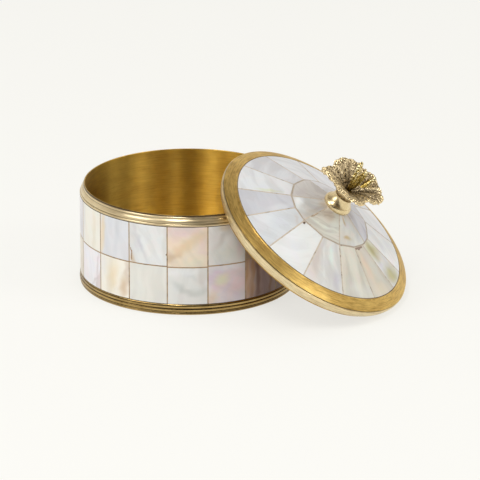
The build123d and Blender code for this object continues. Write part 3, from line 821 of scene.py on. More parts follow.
# %% Looks of the side tiles
SIDE_LOOKS = {
    (17, "upper"): Look((228, 226, 233), 4, (0.3, 0.2, 0.2)),
    (17, "lower"): Look((230, 221, 206), 0, (0.4, 0.1, 0.2)),
    (1, "upper"): Look((239, 236, 226), 0, (0.12, 0.1, 0.12),
                       ((0.72, 0.5, 10, 1.5, 88, 0.9, (232, 223, 203), 0.7),
                        (0.1, 0.5, 9, 1.2, 90, 0.8, (226, 224, 226), 0.7))),
    (1, "lower"): Look((240, 237, 244), 0, (0.2, 0.2, 0.1),
                       ((1.0, 0.2, 8, 3.0, 70, 0.25, (219, 208, 211), 0.9),
                        (0.88, 0.62, 7, 0.7, 84, 0.9, (204, 190, 196), 0.6),
                        (0.74, 0.16, 4, 0.6, 48, 0.9, (200, 186, 188), 0.5))),
    (2, "upper"): Look((222, 223, 228), 8, (0.14, 0.1, 0.18),
                       ((0.07, 0.5, 11, 1.8, 84, 0.6, (234, 216, 188), 0.9),
                        (0.6, 0.5, 10, 1.2, 82, 0.8, (212, 215, 221), 0.7),
                        (0.33, 0.6, 8, 1.0, 82, 0.8, (220, 222, 228), 0.6))),
    (2, "lower"): Look((243, 238, 227), 4, (0.16, 0.1, 0.18),
                       ((0.46, 0.5, 6.5, 2.6, 78, 1.0, (235, 218, 184), 0.8),
                        (0.84, 0.3, 5, 2.0, 80, 0.9, (208, 180, 142), 0.75),
                        (0.95, 0.75, 6, 1.3, 88, 0.8, (214, 194, 178), 0.65),
                        (0.1, 0.7, 6, 1.8, 80, 0.8, (236, 234, 232), 0.7))),
    (3, "upper"): Look((229, 230, 231), 28, (0.25, 0.15, 0.2),
                       ((0.3, 0.52, 10.5, 1.0, -66, 0.9, (204, 204, 209), 0.75),
                        (0.12, 0.75, 6, 1.2, -72, 0.9, (214, 212, 214), 0.6),
                        (0.62, 0.3, 6, 2.4, -66, 0.9, (240, 240, 240), 0.7),
                        (0.95, 0.6, 9, 1.0, 88, 0.8, (214, 213, 208), 0.6),
                        (0.1, 0.08, 2.8, 1.0, -72, 0.8, (212, 188, 158), 0.75)),
                       ((0.055, 0.2, 4.2, 0.34, -79, 0.5, (154, 124, 90)),
                        (1.0, 0.44, 0.7, 0.3, 88, 0.6, (70, 58, 48)),
                        (1.0, 0.3, 0.5, 0.28, 88, 0.6, (80, 66, 54)))),
    (3, "lower"): Look((229, 228, 222), 0, (0.15, 0.1, 0.1)),
    (4, "upper"): Look((236, 219, 200), 40, (0.2, 0.25, 0.12),
                       ((0.35, 0.92, 10, 3.4, 4, 0.8, (226, 207, 207), 0.9),
                        (0.85, 0.55, 6, 2.5, 80, 0.8, (228, 210, 206), 0.7),
                        (0.5, 0.55, 11, 2.3, 38, 0.8, (226, 200, 166), 0.8),
                        (0.12, 0.24, 4, 1.2, 30, 0.8, (214, 186, 158), 0.7),
                        (0.75, 0.14, 7, 2.6, 14, 0.8, (233, 224, 204), 0.85))),
    (4, "lower"): Look((224, 224, 222), -16, (0.2, 0.1, 0.1),
                       ((0.33, 0.45, 4.2, 1.4, -38, 0.95, (199, 202, 200), 0.8),
                        (0.64, 0.31, 4.2, 1.4, -8, 0.95, (197, 200, 197), 0.8),
                        (0.9, 0.38, 2.6, 1.1, 35, 0.95, (204, 206, 203), 0.7),
                        (0.62, 0.74, 5.0, 0.8, -32, 0.95, (212, 214, 213), 0.7),
                        (0.35, 0.88, 8, 1.6, 4, 0.8, (234, 235, 236), 0.7),
                        (0.86, 0.75, 5, 1.8, 84, 0.8, (214, 208, 204), 0.6))),
    (5, "upper"): Look((219, 217, 216), 30, (0.22, 0.2, 0.2),
                       ((0.4, 0.72, 8, 1.5, 56, 0.9, (196, 190, 186), 0.75),
                        (0.42, 0.97, 3, 1.6, 0, 0.8, (196, 178, 156), 0.8),
                        (0.16, 0.8, 7, 1.8, 84, 0.8, (212, 209, 208), 0.7),
                        (0.5, 0.3, 6, 3.2, 10, 0.9, (212, 211, 204), 0.8),
                        (0.86, 0.4, 4, 2.0, 80, 0.8, (218, 202, 208), 0.7))),
    (5, "lower"): Look((222, 213, 219), 60, (0.2, 0.3, 0.1),
                       ((0.36, 0.62, 6, 5, 0, 0.6, (226, 203, 216), 0.8),
                        (0.75, 0.45, 7, 4, 50, 0.8, (226, 202, 210), 0.8),
                        (0.36, 0.62, 2.9, 2.4, 20, 0.8, (226, 222, 196), 0.95),
                        (0.06, 0.12, 4, 2.6, 60, 0.8, (222, 206, 188), 0.85),
                        (0.6, 0.95, 9, 1.5, 0, 0.8, (228, 226, 234), 0.7))),
    # Column 6 lies under the leaning lid: its browns and mauves paint the lid's shadow and the brass it
    # mirrors, over the shell's own brownish bands.
    (6, "upper"): Look((158, 134, 110), 10, (0.7, 0.1, 0.5),
                       ((0.5, 0.5, 9, 3, 70, 0.8, (130, 106, 84), 0.7),)),
    (6, "lower"): Look((150, 124, 118), 0, (0.5, 0.0, 0.6),
                       ((0.06, 0.5, 11, 1.2, 90, 0.5, (176, 134, 92), 0.95),
                        (0.2, 0.5, 11, 1.3, 89, 0.5, (160, 118, 80), 0.9),
                        (0.36, 0.5, 11, 1.4, 90, 0.5, (118, 84, 68), 0.95),
                        (0.6, 0.5, 11, 1.6, 90, 0.6, (144, 120, 120), 0.8),
                        (0.8, 0.5, 11, 0.8, 90, 0.5, (136, 98, 68), 0.9),
                        (0.94, 0.5, 11, 0.8, 90, 0.6, (156, 132, 122), 0.8))),
    # This tile's brown also paints the lid's shadow and the brass it mirrors, over the shell's own tone.
    (7, "lower"): Look((156, 130, 120), 0, (0.6, 0.0, 0.6)),
}
print(len(SIDE_LOOKS), "side tiles have looks of their own")

# %% [markdown]
# A side tile is bent to the drum. A column's lower and upper tile share one construction node, so they are
# joined as one piece that replaces it. The seam between the two rows was not laid quite level, and each
# front column's part of it is moved up or down a little, which a single straight band would not show.

# %% Side tiles
ROW_STEP = {1: -0.2, 2: -0.2, 3: -0.3, 4: -0.7, 5: 0.25, 6: 0.25}  # in millimetres, by column


def side_face(start, end, low, high):
    """A unit square bent onto the drum, and the way in from it."""
    half = SEAM / 2
    first = math.radians(start) + half / face_radius
    last = math.radians(end) - half / face_radius

    def face(s, t):
        angle = first + (last - first) * s
        height = low + (high - low) * t
        return np.stack([face_radius * np.cos(angle), face_radius * np.sin(angle), height], -1)

    def down(s, t):
        angle = first + (last - first) * s
        return np.stack([-np.cos(angle), -np.sin(angle), np.zeros_like(angle)], -1)

    return face, down, (last - first) * face_radius, high - low


def later(angle, start):
    """The same angle, met when turning on from a start."""
    return start + (angle - start) % 360


def join_as(name, pieces):
    """Several meshes as one object."""
    with bpy.context.temp_override(active_object=pieces[0], selected_editable_objects=pieces):
        bpy.ops.object.join()
    pieces[0].name = name
    return pieces[0]


for number, node in enumerate(SIDE_NODES, 1):
    start = side_seams[number - 1]
    end = later(side_seams[number % len(SIDE_NODES)], start)
    row_line = row_seams[number - 1] + ROW_STEP.get(number, 0.0)
    rows = (("lower", side_low, row_line - SEAM / 2), ("upper", row_line + SEAM / 2, side_high))
    pair = []
    for row, low, high in rows:
        face, down, width, height = side_face(start, end, low, high)
        look = SIDE_LOOKS.get((number, row)) or chance_look()
        pair.append(slab(f"side_shell_{number:02d}_{row}", face, down, width, height, look, BOX))
    column = join_as(f"side_shell_{number:02d}", pair)
    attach(column, "box")
    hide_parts(node)

# %% [markdown]
# Most of the lid's tiles are cool grey or white. Outer tiles 6 to 8 are creamier or hold tan and olive
# stains, and the brightest tiles lie next to them. They are numbered as in the construction model, the outer
# ones round the rim and the inner ones round the knob.

# %% Looks of the lid's tiles
OUTER_LOOKS = {
    1: Look((230, 231, 233), 70, (0.3, 0.15, 0.25),
            ((0.9, 0.4, 5.5, 0.9, 86, 0.8, (222, 225, 196), 0.8),)),
    2: Look((209, 209, 214), 80, (0.25, 0.1, 0.25),
            ((0.85, 0.3, 6, 2, 80, 0.8, (224, 225, 228), 0.7),)),
    3: Look((221, 224, 227), 60, (0.25, 0.1, 0.3),
            ((0.75, 0.12, 4, 1.0, 20, 0.7, (214, 206, 198), 0.5),
             (0.2, 0.7, 8, 3, 70, 0.9, (232, 234, 237), 0.7))),
    4: Look((235, 236, 234), 50, (0.15, 0.1, 0.15),
            ((0.3, 0.6, 8, 4, 60, 0.9, (240, 242, 245), 0.8),),
            ((0.02, 0.03, 1.3, 0.6, 20, 0.6, (96, 78, 62)),)),
    5: Look((226, 224, 221), -20, (0.3, 0.2, 0.3),
            ((0.12, 0.55, 9, 1.8, 84, 0.8, (226, 213, 206), 0.85),
             (0.6, 0.3, 4.5, 1.6, 78, 0.7, (226, 238, 232), 0.95),
             (0.36, 0.5, 9, 0.5, 74, 0.6, (240, 240, 238), 0.7),
             (0.85, 0.75, 5, 1.6, 88, 0.8, (214, 212, 220), 0.7))),
    6: Look((226, 222, 210), 4, (0.35, 0.25, 0.25),
            ((0.5, 0.85, 5, 3, 0, 0.8, (233, 230, 220), 0.8),
             (0.3, 0.4, 7, 1.2, 86, 0.8, (216, 212, 202), 0.6))),
    7: Look((214, 208, 194), 0, (0.35, 0.2, 0.25),
            ((0.25, 0.4, 7.5, 2.4, 84, 0.9, (232, 210, 184), 0.75),
             (0.75, 0.5, 9, 1.8, 88, 0.8, (214, 212, 203), 0.8),
             (0.4, 0.9, 4, 3, 0, 0.8, (232, 222, 198), 0.7)),
            ((0.35, 0.0, 7.5, 1.3, 3, 0.3, (150, 128, 112)),)),
    8: Look((242, 241, 247), 20, (0.3, 0.3, 0.2),
            ((0.5, 0.2, 6.0, 6.0, 84, 0.7, (210, 204, 156), 0.9),
             (0.5, 0.22, 3.4, 2.4, 70, 0.9, (190, 176, 116), 0.8),
             (0.5, 0.82, 4.6, 5.0, 60, 0.7, (200, 192, 140), 0.95),
             (0.7, 0.55, 6, 2, 84, 0.8, (232, 228, 226), 0.7))),
    9: Look((250, 250, 252), 30, (0.3, 0.25, 0.2)),
    10: Look((244, 244, 248), 60, (0.3, 0.2, 0.2)),
    11: Look((234, 235, 241), 10, (0.3, 0.2, 0.2)),
    12: Look((233, 233, 238), -30, (0.3, 0.15, 0.3)),
    13: Look((228, 229, 233), -60, (0.3, 0.15, 0.3),
            ((0.3, 0.3, 6, 1.2, 70, 0.8, (208, 206, 208), 0.6),)),
    14: Look((219, 219, 223), 75, (0.35, 0.15, 0.25)),
}
INNER_LOOKS = {
    1: Look((214, 213, 211), 40, (0.4, 0.2, 0.3),
            # The near-white spot at the tile's outer corner is a painted highlight.
            ((0.15, 0.86, 3.6, 1.6, 30, 0.8, (248, 249, 250), 0.95),
             (0.65, 0.25, 4, 2.5, 0, 0.8, (208, 192, 174), 0.9),
             (0.85, 0.6, 6, 1.2, 84, 0.8, (204, 196, 186), 0.7))),
    2: Look((219, 216, 206), 75, (0.5, 0.2, 0.8),
            ((0.35, 0.35, 6, 3, 0, 0.8, (205, 190, 174), 0.9),
             (0.38, 0.78, 4.5, 0.8, -12, 0.7, (236, 240, 230), 0.9),
             (0.85, 0.6, 6, 2, 84, 0.8, (222, 223, 214), 0.8)),
            ((0.0, 0.55, 5, 0.5, 90, 0.4, (176, 150, 120)),)),
    3: Look((232, 230, 226), 20, (0.35, 0.3, 0.25),
            ((0.3, 0.8, 2.2, 1.1, 10, 0.6, (212, 192, 146), 0.9),
             (0.3, 0.36, 2.2, 0.9, 70, 0.6, (206, 180, 140), 0.9),
             (0.8, 0.6, 6, 1.5, 84, 0.8, (222, 224, 226), 0.8))),
    4: Look((219, 218, 227), 30, (0.5, 0.2, 0.3)),
    5: Look((222, 221, 229), 0, (0.4, 0.2, 0.3)),
    6: Look((224, 224, 230), 50, (0.4, 0.2, 0.3)),
    7: Look((209, 203, 198), 35, (0.4, 0.1, 0.8),
            ((0.8, 0.8, 4, 2, 40, 0.8, (200, 194, 190), 0.6),)),
}
print(len(OUTER_LOOKS) + len(INNER_LOOKS), "lid tiles have looks of their own")

# %% [markdown]
# The lid's tiles lie on a cone, which is measured from the construction model. Any tile's face can be given
# by its inner and its outer edge on the plan: the points between lie on straight lines from one to the
# other, and the cone gives their heights. Both kinds of tile on the lid are made that way.

# %% Cone under the lid's tiles
RIM_WIDTH = 0.05  # points this near the largest radius are on the rim
x, y, z = into(LID, mesh_points(OUTER_NODES[0])).T
edge_height = z[np.hypot(x, y) > dome_radius - RIM_WIDTH].max()
cone_slope = (crown_height - edge_height) / (dome_radius - calipers(INNER_NODES[0], LID)[0])


def dome(radius):
    """Height of the tiles' faces at a radius."""
    return edge_height + (dome_radius - radius) * cone_slope


def cone_point(x, y):
    """Points on the cone above places on its plan."""
    return np.stack([x, y, dome(np.hypot(x, y))], -1)


def cone_down(points):
    """The way in from points on the cone."""
    radius = np.hypot(points[..., 0], points[..., 1])[..., None]
    inward = np.concatenate([-cone_slope * points[..., :2] / radius, -np.ones_like(radius)], -1)
    return inward / math.hypot(1, cone_slope)


def tile_face(edges):
    """A face from its four edges: `edges` gives the inner and outer point of each s."""
    def face(s, t):
        (xi, yi), (xo, yo) = edges(s)
        return cone_point(xi + (xo - xi) * t, yi + (yo - yi) * t)
    return face, lambda s, t: cone_down(face(s, t))


def polar(radius, degrees):
    """A place on the lid's plan from its distance and direction."""
    angle = np.radians(degrees)
    return np.array([radius * np.cos(angle), radius * np.sin(angle)])


def turned_by(angle, radius, amount):
    """An angle moved by half a seam, which is wider in degrees the nearer the axis."""
    return angle + np.degrees(amount * SEAM / 2 / radius)


print("the cone's slope is", round(float(cone_slope), 3))

# %% [markdown]
# An outer tile's sides run along its two seams, its inner edge is straight and its outer edge is round. The
# seams are not all true spokes: on the real lid some lean a little, so a seam has one angle at the rim and
# another at the ring of seams, and only the first is in the construction model.

# %% Outer tiles of the lid
RING_GAP = 0.15  # dark resin shows between the tiles and the lid's ring
OUTER_SHARE = 0.75  # a tile narrows towards the axis: its mean width over its width at the rim
# How far a seam has turned, in degrees, by the time it reaches the ring of seams
SEAM_LEAN = {3: -1.0, 4: -3.6, 5: 1.0, 6: -2.4, 7: -3.5, 8: -9.0, 9: -8.0}


def seam_ring_corner(number):
    """The angle where an outer seam meets the ring of seams."""
    return outer_seams[number] + SEAM_LEAN.get(number + 1, 0.0)


def lay(name, node, edges, width, height, look):
    """One lid tile in place of its construction node."""
    face, down = tile_face(edges)
    tile = slab(name, face, down, width, height, look, LID)
    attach(tile, "lid")
    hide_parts(node)


for number, node in enumerate(OUTER_NODES):
    after = (number + 1) % len(OUTER_NODES)
    start, end = outer_seams[number], later(outer_seams[after], outer_seams[number])
    inner_start = later(seam_ring_corner(number), start - 180)
    inner_end = later(seam_ring_corner(after), start)
    corner_a = polar(seam_ring_radius, turned_by(inner_start, seam_ring_radius, 1))
    corner_b = polar(seam_ring_radius, turned_by(inner_end, seam_ring_radius, -1))
    outward = (corner_a + corner_b) / np.linalg.norm(corner_a + corner_b) * SEAM

    def outer_edges(s):
        inner = corner_a[:, None, None] * (1 - s) + corner_b[:, None, None] * s + outward[:, None, None]
        angle = turned_by(start, dome_radius, 1) * (1 - s) + turned_by(end, dome_radius, -1) * s
        return inner, polar(dome_radius - RING_GAP, angle)

    width = dome_radius * math.radians(end - start) * OUTER_SHARE
    height = (dome_radius - seam_ring_radius) * math.hypot(1, cone_slope)
    lay(f"outer_shell_{number + 1:02d}", node, outer_edges, width, height, OUTER_LOOKS[number + 1])
print(len(OUTER_NODES), "outer tiles;", len(SEAM_LEAN), "of the seams between them lean")

# %% [markdown]
# An inner tile is a wedge that ends under the knob's collar. Its outer edge bends where an outer seam meets
# it, because the outer tiles' inner edges are straight. So the edge is made of straight parts between bends.

# %% Inner tiles of the lid
TILE_INNER_RADIUS = 3.1
BEND_MARGIN = 3  # a bend this near a tile's own seam is left out, in degrees
INNER_SHARE = 0.7  # the mean width of an inner tile over its width at the ring of seams
for number, node in enumerate(INNER_NODES):
    after = (number + 1) % len(INNER_NODES)
    start, end = inner_seams[number], later(inner_seams[after], inner_seams[number])
    bends = sorted(later(seam_ring_corner(k), start - 1) for k in range(len(OUTER_NODES)))
    bends = [start] + [b for b in bends if start + BEND_MARGIN < b < end - BEND_MARGIN] + [end]

    def inner_edges(s):
        angle = turned_by(start, seam_ring_radius, 1) * (1 - s) + turned_by(end, seam_ring_radius, -1) * s
        radius = np.full_like(s, seam_ring_radius)
        for a, b in zip(bends, bends[1:]):
            here = (angle >= a) & (angle <= b)
            half, off = np.radians((b - a) / 2), np.radians(angle - (a + b) / 2)
            radius = np.where(here, seam_ring_radius * np.cos(half) / np.cos(off), radius)
        inner = turned_by(start, TILE_INNER_RADIUS, 1) * (1 - s) + turned_by(end, TILE_INNER_RADIUS, -1) * s
        return polar(TILE_INNER_RADIUS, inner), polar(radius - SEAM / 2, angle)

    width = seam_ring_radius * math.radians(end - start) * INNER_SHARE
    height = (seam_ring_radius - TILE_INNER_RADIUS) * math.hypot(1, cone_slope)
    lay(f"inner_shell_{number + 1}", node, inner_edges, width, height, INNER_LOOKS[number + 1])
print(len(INNER_NODES), "inner tiles round the knob")

# %% [markdown]
# The resin that holds the tiles shows only as thin seams. Each bed is one solid turned round its axis, and
# it stops just below the tiles' faces, so every seam is a small groove. It is darkest beside the brass: on
# the side that is painted shade in the gaps at the rings, and on the lid a plain dark line at its ring.

# %% Resin beds
SIDE_RESIN = srgb(160, 134, 100)
LID_RESIN = srgb(196, 182, 164)
RESIN_DARK = srgb(70, 54, 36)
SEAM_DEPTH = 0.05
CROWN_FLAT = 6.0  # inside this radius the lid's bed is flat underneath
FAINT_LINE = 0.3  # a faint dark line lies this far inside the ring of seams


def lathe(name, profile, space, material, segments=240):
    """A closed profile of (radius, height) points turned round a space's axis."""
    turns = np.linspace(0, 2 * np.pi, segments, endpoint=False)
    radius, height = np.array(profile, float).T
    x, y = radius * np.cos(turns)[:, None], radius * np.sin(turns)[:, None]
    vertices = np.stack([x, y, np.broadcast_to(height, x.shape)], -1).reshape(-1, 3)
    count = len(profile)
    faces = []
    for turn in range(segments):
        here, there = turn * count, (turn + 1) % segments * count
        sides = [(i, (i + 1) % count) for i in range(count)]
        faces += [(here + i, there + i, there + j, here + j) for i, j in sides]
    return new_piece(name, vertices, faces, material, space)


def resin_finish(name, colour, space, measure, edges):
    """Tan resin with dark lines. `measure` reads a place's height or its distance from the axis, and each
    of `edges` is a value of it where the resin is dark, and how dark."""
    material, tree, shader = new_finish(name)
    place = own_place(tree, space)
    value = measure(tree, place)
    dirt_and_shade = spread(tree, speckle(tree, place, 0.5), 0.45, 0.8, 0.0, 0.7)
    # Noise stands for dirt; the dark lines at the edges are added to it.
    for edge, strength in edges:
        near = spread(tree, off_by(tree, value, edge), 0.1, 0.6, strength, 0.0)
        dirt_and_shade = maths(tree, "MAXIMUM", dirt_and_shade, near)
    set_shader(tree, shader, Base_Color=mix(tree, dirt_and_shade, colour, RESIN_DARK), Roughness=0.55)
    return material


inner_face, _, bed_low, bed_high = calipers("side_bed", BOX)
outer_face = face_radius - SEAM_DEPTH
side_profile = [(inner_face, bed_low), (outer_face, bed_low), (outer_face, bed_high), (inner_face, bed_high)]
# The dark lines at the side bed's top and bottom paint the shade under the top ring and above the foot ring.
side_lines = ((bed_low, 1.0), (bed_high, 1.0))
side_finish = resin_finish("side_resin", SIDE_RESIN, BOX, height_of, side_lines)
side_resin = lathe("side_resin", side_profile, BOX, side_finish)

hole_radius, bed_edge, bed_foot, _ = calipers("lid_bed", LID)
crown_foot = dome(CROWN_FLAT) - (dome(bed_edge) - bed_foot)
lid_profile = [(hole_radius, crown_foot), (CROWN_FLAT, crown_foot), (bed_edge, bed_foot),
               (bed_edge, dome(bed_edge) - SEAM_DEPTH), (hole_radius, dome(hole_radius) - SEAM_DEPTH)]
lid_lines = ((bed_edge, 1.0), (seam_ring_radius - FAINT_LINE, 0.35))
lid_finish = resin_finish("lid_resin", LID_RESIN, LID, radius_of, lid_lines)
lid_resin = lathe("lid_resin", lid_profile, LID, lid_finish)
for made, node, body in ((side_resin, "side_bed", "box"), (lid_resin, "lid_bed", "lid")):
    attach(made, body)
    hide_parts(node)
print("seams are", SEAM, "mm wide and", SEAM_DEPTH, "mm deep")

# %% [markdown]
# The flower was modelled in wax and cast, so nothing on it is regular. Its petals, stamens and heart are all
# made the same way: as sheets with a thickness, from a grid of points along their middle. A sheet is easier
# to bend and crease than a block, and the thickness is added last.

# %% Thick sheets and tubes
def sheet(centre, thickness):
    """A thick sheet from a grid of middle points and a grid of half thicknesses."""
    normal = np.cross(np.gradient(centre, axis=1), np.gradient(centre, axis=0))
    normal /= np.linalg.norm(normal, axis=-1)[..., None] + 1e-9
    sides = [centre + normal * thickness[..., None] * way for way in (1, -1)]
    index = np.arange(thickness.size).reshape(thickness.shape)
    other = index.size  # the second side's points are numbered after the first's
    rim = border(index)
    wall = np.stack([rim, np.roll(rim, -1), np.roll(rim, -1) + other, rim + other], -1)
    faces = np.concatenate([squares(index)[:, ::-1], squares(index) + other, wall])
    return np.concatenate([side.reshape(-1, 3) for side in sides]), faces


def tube(path, radius, sides=10):
    """A closed tube along a closed path; its radius may change along it."""
    ahead = np.roll(path, -1, 0) - np.roll(path, 1, 0)
    ahead /= np.linalg.norm(ahead, axis=1)[:, None]
    sideways = np.cross(ahead, [0, 0, 1.0])
    sideways /= np.linalg.norm(sideways, axis=1)[:, None]
    upright = np.cross(sideways, ahead)
    turn = np.linspace(0, 2 * np.pi, sides, endpoint=False)[:, None]
    ring = sideways[:, None] * np.cos(turn) + upright[:, None] * np.sin(turn)
    points = path[:, None] + ring * np.broadcast_to(radius, len(path))[:, None, None]
    index = np.arange(len(path) * sides).reshape(len(path), sides)
    onward, beside = np.roll(index, -1, 0), np.roll(index, -1, 1)
    faces = np.stack([index, beside, np.roll(beside, -1, 0), onward], -1).reshape(-1, 4)
    return points.reshape(-1, 3), faces


print("a thick sheet of 4 by 3 points has", len(sheet(np.zeros((4, 3, 3)), np.ones((4, 3)))[1]), "faces")

# %% [markdown]
# The rim is drawn first, as a closed line through a few places. A bowl runs from the throat out to that line,
# with a crease between each two petals and fine ribs along them, and a thick roll follows the rim. Separate
# petals would have to be fitted to one another where they meet, while one bowl needs only creases.

# %% Petals
_, _, flower_low, _ = calipers("knob_flower", LID)
THROAT = (2.0, flower_low + 3.2)  # radius and height where the bowl begins
RIM = (
    # angle round the lid's axis in degrees, reach from it and height above the flower's foot
    (-151, 14.9, 6.8), (-161, 14.0, 6.7), (-171, 12.5, 7.2), (-179, 11.7, 7.9), (165, 12.9, 9.0),
    (149, 13.6, 10.0), (135, 13.9, 10.2), (118, 13.2, 10.1), (101, 11.2, 9.6), (93, 12.0, 10.3),
    (85, 12.8, 10.4), (76, 12.9, 10.3), (63, 12.6, 9.9), (52, 13.0, 9.4), (40, 13.5, 8.9),
    (35, 14.3, 8.8), (24, 15.0, 8.3), (14, 14.6, 7.7), (6, 12.9, 7.4), (-4, 12.0, 7.6),
    (-12, 10.9, 8.0), (-18, 10.2, 7.8), (-27, 11.0, 7.3), (-39, 12.2, 7.2), (-57, 13.2, 7.5),
    (-68, 13.2, 7.7), (-88, 12.8, 7.9), (-105, 12.5, 8.1), (-121, 12.9, 8.2), (-133, 13.4, 8.0),
    (-141, 14.6, 7.6),
)
CREASES = (-146, -179, 101, 38, -16)
CREASE_DEPTH, CREASE_WIDTH = 0.9, 5  # millimetres and degrees
RIDGE_HEIGHT, RIDGE_WIDTH, RIDGE_OFF = 0.35, 6, 9  # a low ridge stands beside each crease
RIB_HEIGHT, RIBS = 0.07, 38
RIPPLE = 0.22  # the rim's small waves
RIM_ROLL, RIM_DROP = 0.9, 0.15  # how thick the roll along the rim is, and how far below it


def rim_line(count):
    """The rim as angles, reaches and heights: straight between its places, then smoothed."""
    places = sorted((angle % 360, reach, height) for angle, reach, height in RIM)
    angle, reach, height = np.array(places).T
    turns = np.linspace(0, 360, count, endpoint=False)
    both = [np.interp(turns, angle, values, period=360) for values in (reach, height)]
    for _ in range(2):
        both = [(np.roll(v, 1) + 2 * v + np.roll(v, -1)) / 4 for v in both]
    ripple = RIPPLE * np.sin(np.radians(turns) * 17 + 2 * np.sin(np.radians(turns) * 3))
    return np.radians(turns), both[0] + 0.5 * ripple, both[1] + ripple + flower_low


def bowl():
    """The petals as one ribbed and creased bowl, and the roll along their rim."""
    angle, reach, height = rim_line(240)
    t = np.linspace(0, 1, 46)[:, None]
    radius = THROAT[0] + (reach - THROAT[0]) * t
    up = THROAT[1] + (height - THROAT[1]) * (1.5 * t - 0.5 * t ** 2)
    for crease in CREASES:
        off = np.degrees(np.angle(np.exp(1j * (angle - math.radians(crease)))))
        up = up - CREASE_DEPTH * np.exp(-(off / CREASE_WIDTH) ** 2) * np.sin(np.pi * t) ** 0.7
        up = up + RIDGE_HEIGHT * np.exp(-((off - RIDGE_OFF) / RIDGE_WIDTH) ** 2) * t
    up = up + RIB_HEIGHT * np.sin(RIBS * angle + 4 * np.sin(5 * angle)) * t * (1.2 - t)
    swing = angle + 0.05 * np.sin(5 * angle) * t
    centre = np.stack([radius * np.cos(swing), radius * np.sin(swing), up], -1)
    closed = np.concatenate([centre, centre[:, :1]], 1)
    thick = np.tile(0.55 + 0.15 * t, (1, closed.shape[1]))
    roll = RIM_ROLL * (1 + 0.16 * np.sin(7 * angle) + 0.12 * np.sin(19 * angle + 1))
    return [sheet(closed, thick), tube(centre[-1] - [0, 0, RIM_DROP], roll)]


print("the rim reaches", round(float(rim_line(180)[1].max()), 1), "mm from the axis")

# %% [markdown]
# Three more shapes complete it. The heart is a solid cup between the collar and the throat. One petal ends in
# a small lump. The stamens are narrow leaves with round tips that rise from the throat, each folded along
# its middle, and each leans its own way.

# %% Heart, tip and stamens
KNOB_TIP = (-153, 15.2, 6.6, 1.3)  # angle, reach, height, radius
LEAVES = (
    # azimuth, reach, tip height, width, spread_out
    (126, 6.6, 16.3, 3.0, 1.5),
    (60, 9.7, 13.4, 3.0, 0.72),
    (88, 8.2, 12.8, 3.2, 0.9),
)
LEAF_THICKNESS = 0.34
FOLD = 0.5  # a leaf's sides lean out by this share of their distance from its middle
CUP_PROFILE = ((0.2, 0.9), (3.8, 0.9), (5.0, 2.2), (6.6, 3.6))  # radius, and height above the flower's foot
CUP_THICKNESS = (0.9, 0.9, 0.9, 0.5)


def outwards(azimuth):
    """The level direction away from the axis."""
    return np.array([math.cos(math.radians(azimuth)), math.sin(math.radians(azimuth)), 0.0])


def cup():
    """The flower's solid heart, from the collar's top up to the throat, as a sheet bent to a ring."""
    around = np.linspace(0, 2 * np.pi, 49)
    rings = np.array(CUP_PROFILE)
    centre = np.stack([rings[:, :1] * np.cos(around), rings[:, :1] * np.sin(around),
                       flower_low + rings[:, 1:] + 0 * around], -1)
    return sheet(centre, np.tile(np.array(CUP_THICKNESS)[:, None], (1, len(around))))


def ball(azimuth, reach, height, radius):
    """A small round lump, as a sheet bent to a ball."""
    around, up = np.meshgrid(np.linspace(0, 2 * np.pi, 17), np.linspace(0.05, np.pi - 0.05, 9))
    middle = reach * outwards(azimuth) + [0, 0, flower_low + height]
    surface = np.stack([np.sin(up) * np.cos(around), np.sin(up) * np.sin(around), np.cos(up)], -1)
    return sheet(surface * radius * 0.6 + middle, np.full_like(up, radius * 0.4))


def leaf(azimuth, reach, tip_height, width, spread_out):
    """One stamen. It leans out late where `spread_out` is over 1, and early where it is under 1."""
    s, t = np.meshgrid(np.linspace(-1, 1, 15), np.linspace(0, 1, 40))
    widening = 0.45 + 0.55 * np.sin(np.pi / 2 * np.clip(t / 0.55, 0, 1))
    rounding = np.sqrt(1 - 0.97 * t ** 5)
    half = width / 2 * widening * rounding * (1 + 0.08 * np.sin(17 * t + azimuth))
    foot = THROAT[1] - 0.8
    height = foot + (flower_low + tip_height - foot) * t ** (1 / spread_out) ** 0.5
    out = 0.4 + (reach - 0.4) * t ** spread_out + FOLD * abs(s) * half
    outward = outwards(azimuth)
    sideways = np.array([-outward[1], outward[0], 0.0])
    upward = np.array([0, 0, 1.0])
    centre = outward * out[..., None] + sideways * (s * half)[..., None] + upward * height[..., None]
    return sheet(centre, np.full_like(s, LEAF_THICKNESS))


print("the tallest stamen's tip is", max(shape[2] for shape in LEAVES), "mm above the flower's foot")

# %% [markdown]
# The sheets cut through one another, which a casting cannot do. A voxel remesh merges them into one skin of
# small squares, and a little smoothing takes the steps away. A boolean union would keep the sheets' own
# points, which are far apart in places, and the pits that come next need points close together.

# %% Merge the sheets
SKIN = 0.24  # the side of a voxel, in millimetres


def merge(name, sheets, rounds):
    """Sheets merged into one closed skin, smoothed for some rounds."""
    vertices = np.concatenate([points for points, _ in sheets])
    starts = np.cumsum([0] + [len(points) for points, _ in sheets])
    faces = [[int(i) + start for i in face] for (_, grid), start in zip(sheets, starts) for face in grid]
    mesh = bpy.data.meshes.new(name + "_sheets")
    mesh.from_pydata((vertices * MM).tolist(), [], faces)
    made = bpy.data.objects.new(name, mesh)
    bpy.context.scene.collection.objects.link(made)
    remesh = made.modifiers.new("merge", "REMESH")
    remesh.mode, remesh.voxel_size = "VOXEL", SKIN * MM
    soften = made.modifiers.new("soften", "SMOOTH")
    soften.factor, soften.iterations = 0.5, rounds
    skin = bpy.data.meshes.new_from_object(made.evaluated_get(bpy.context.evaluated_depsgraph_get()))
    made.modifiers.clear()
    made.data = skin
    return made


print("the skin's squares are", SKIN, "mm wide")

# %% [markdown]
# The skin is pitted and veined as the mould leaves it: noise moves each point along its normal, more where
# the flower is handled most. Sculpting by hand could do this too, but it could not be run again. How far a
# point then stands out from those round it says how much a cloth rubs it, and the mesh keeps that number.

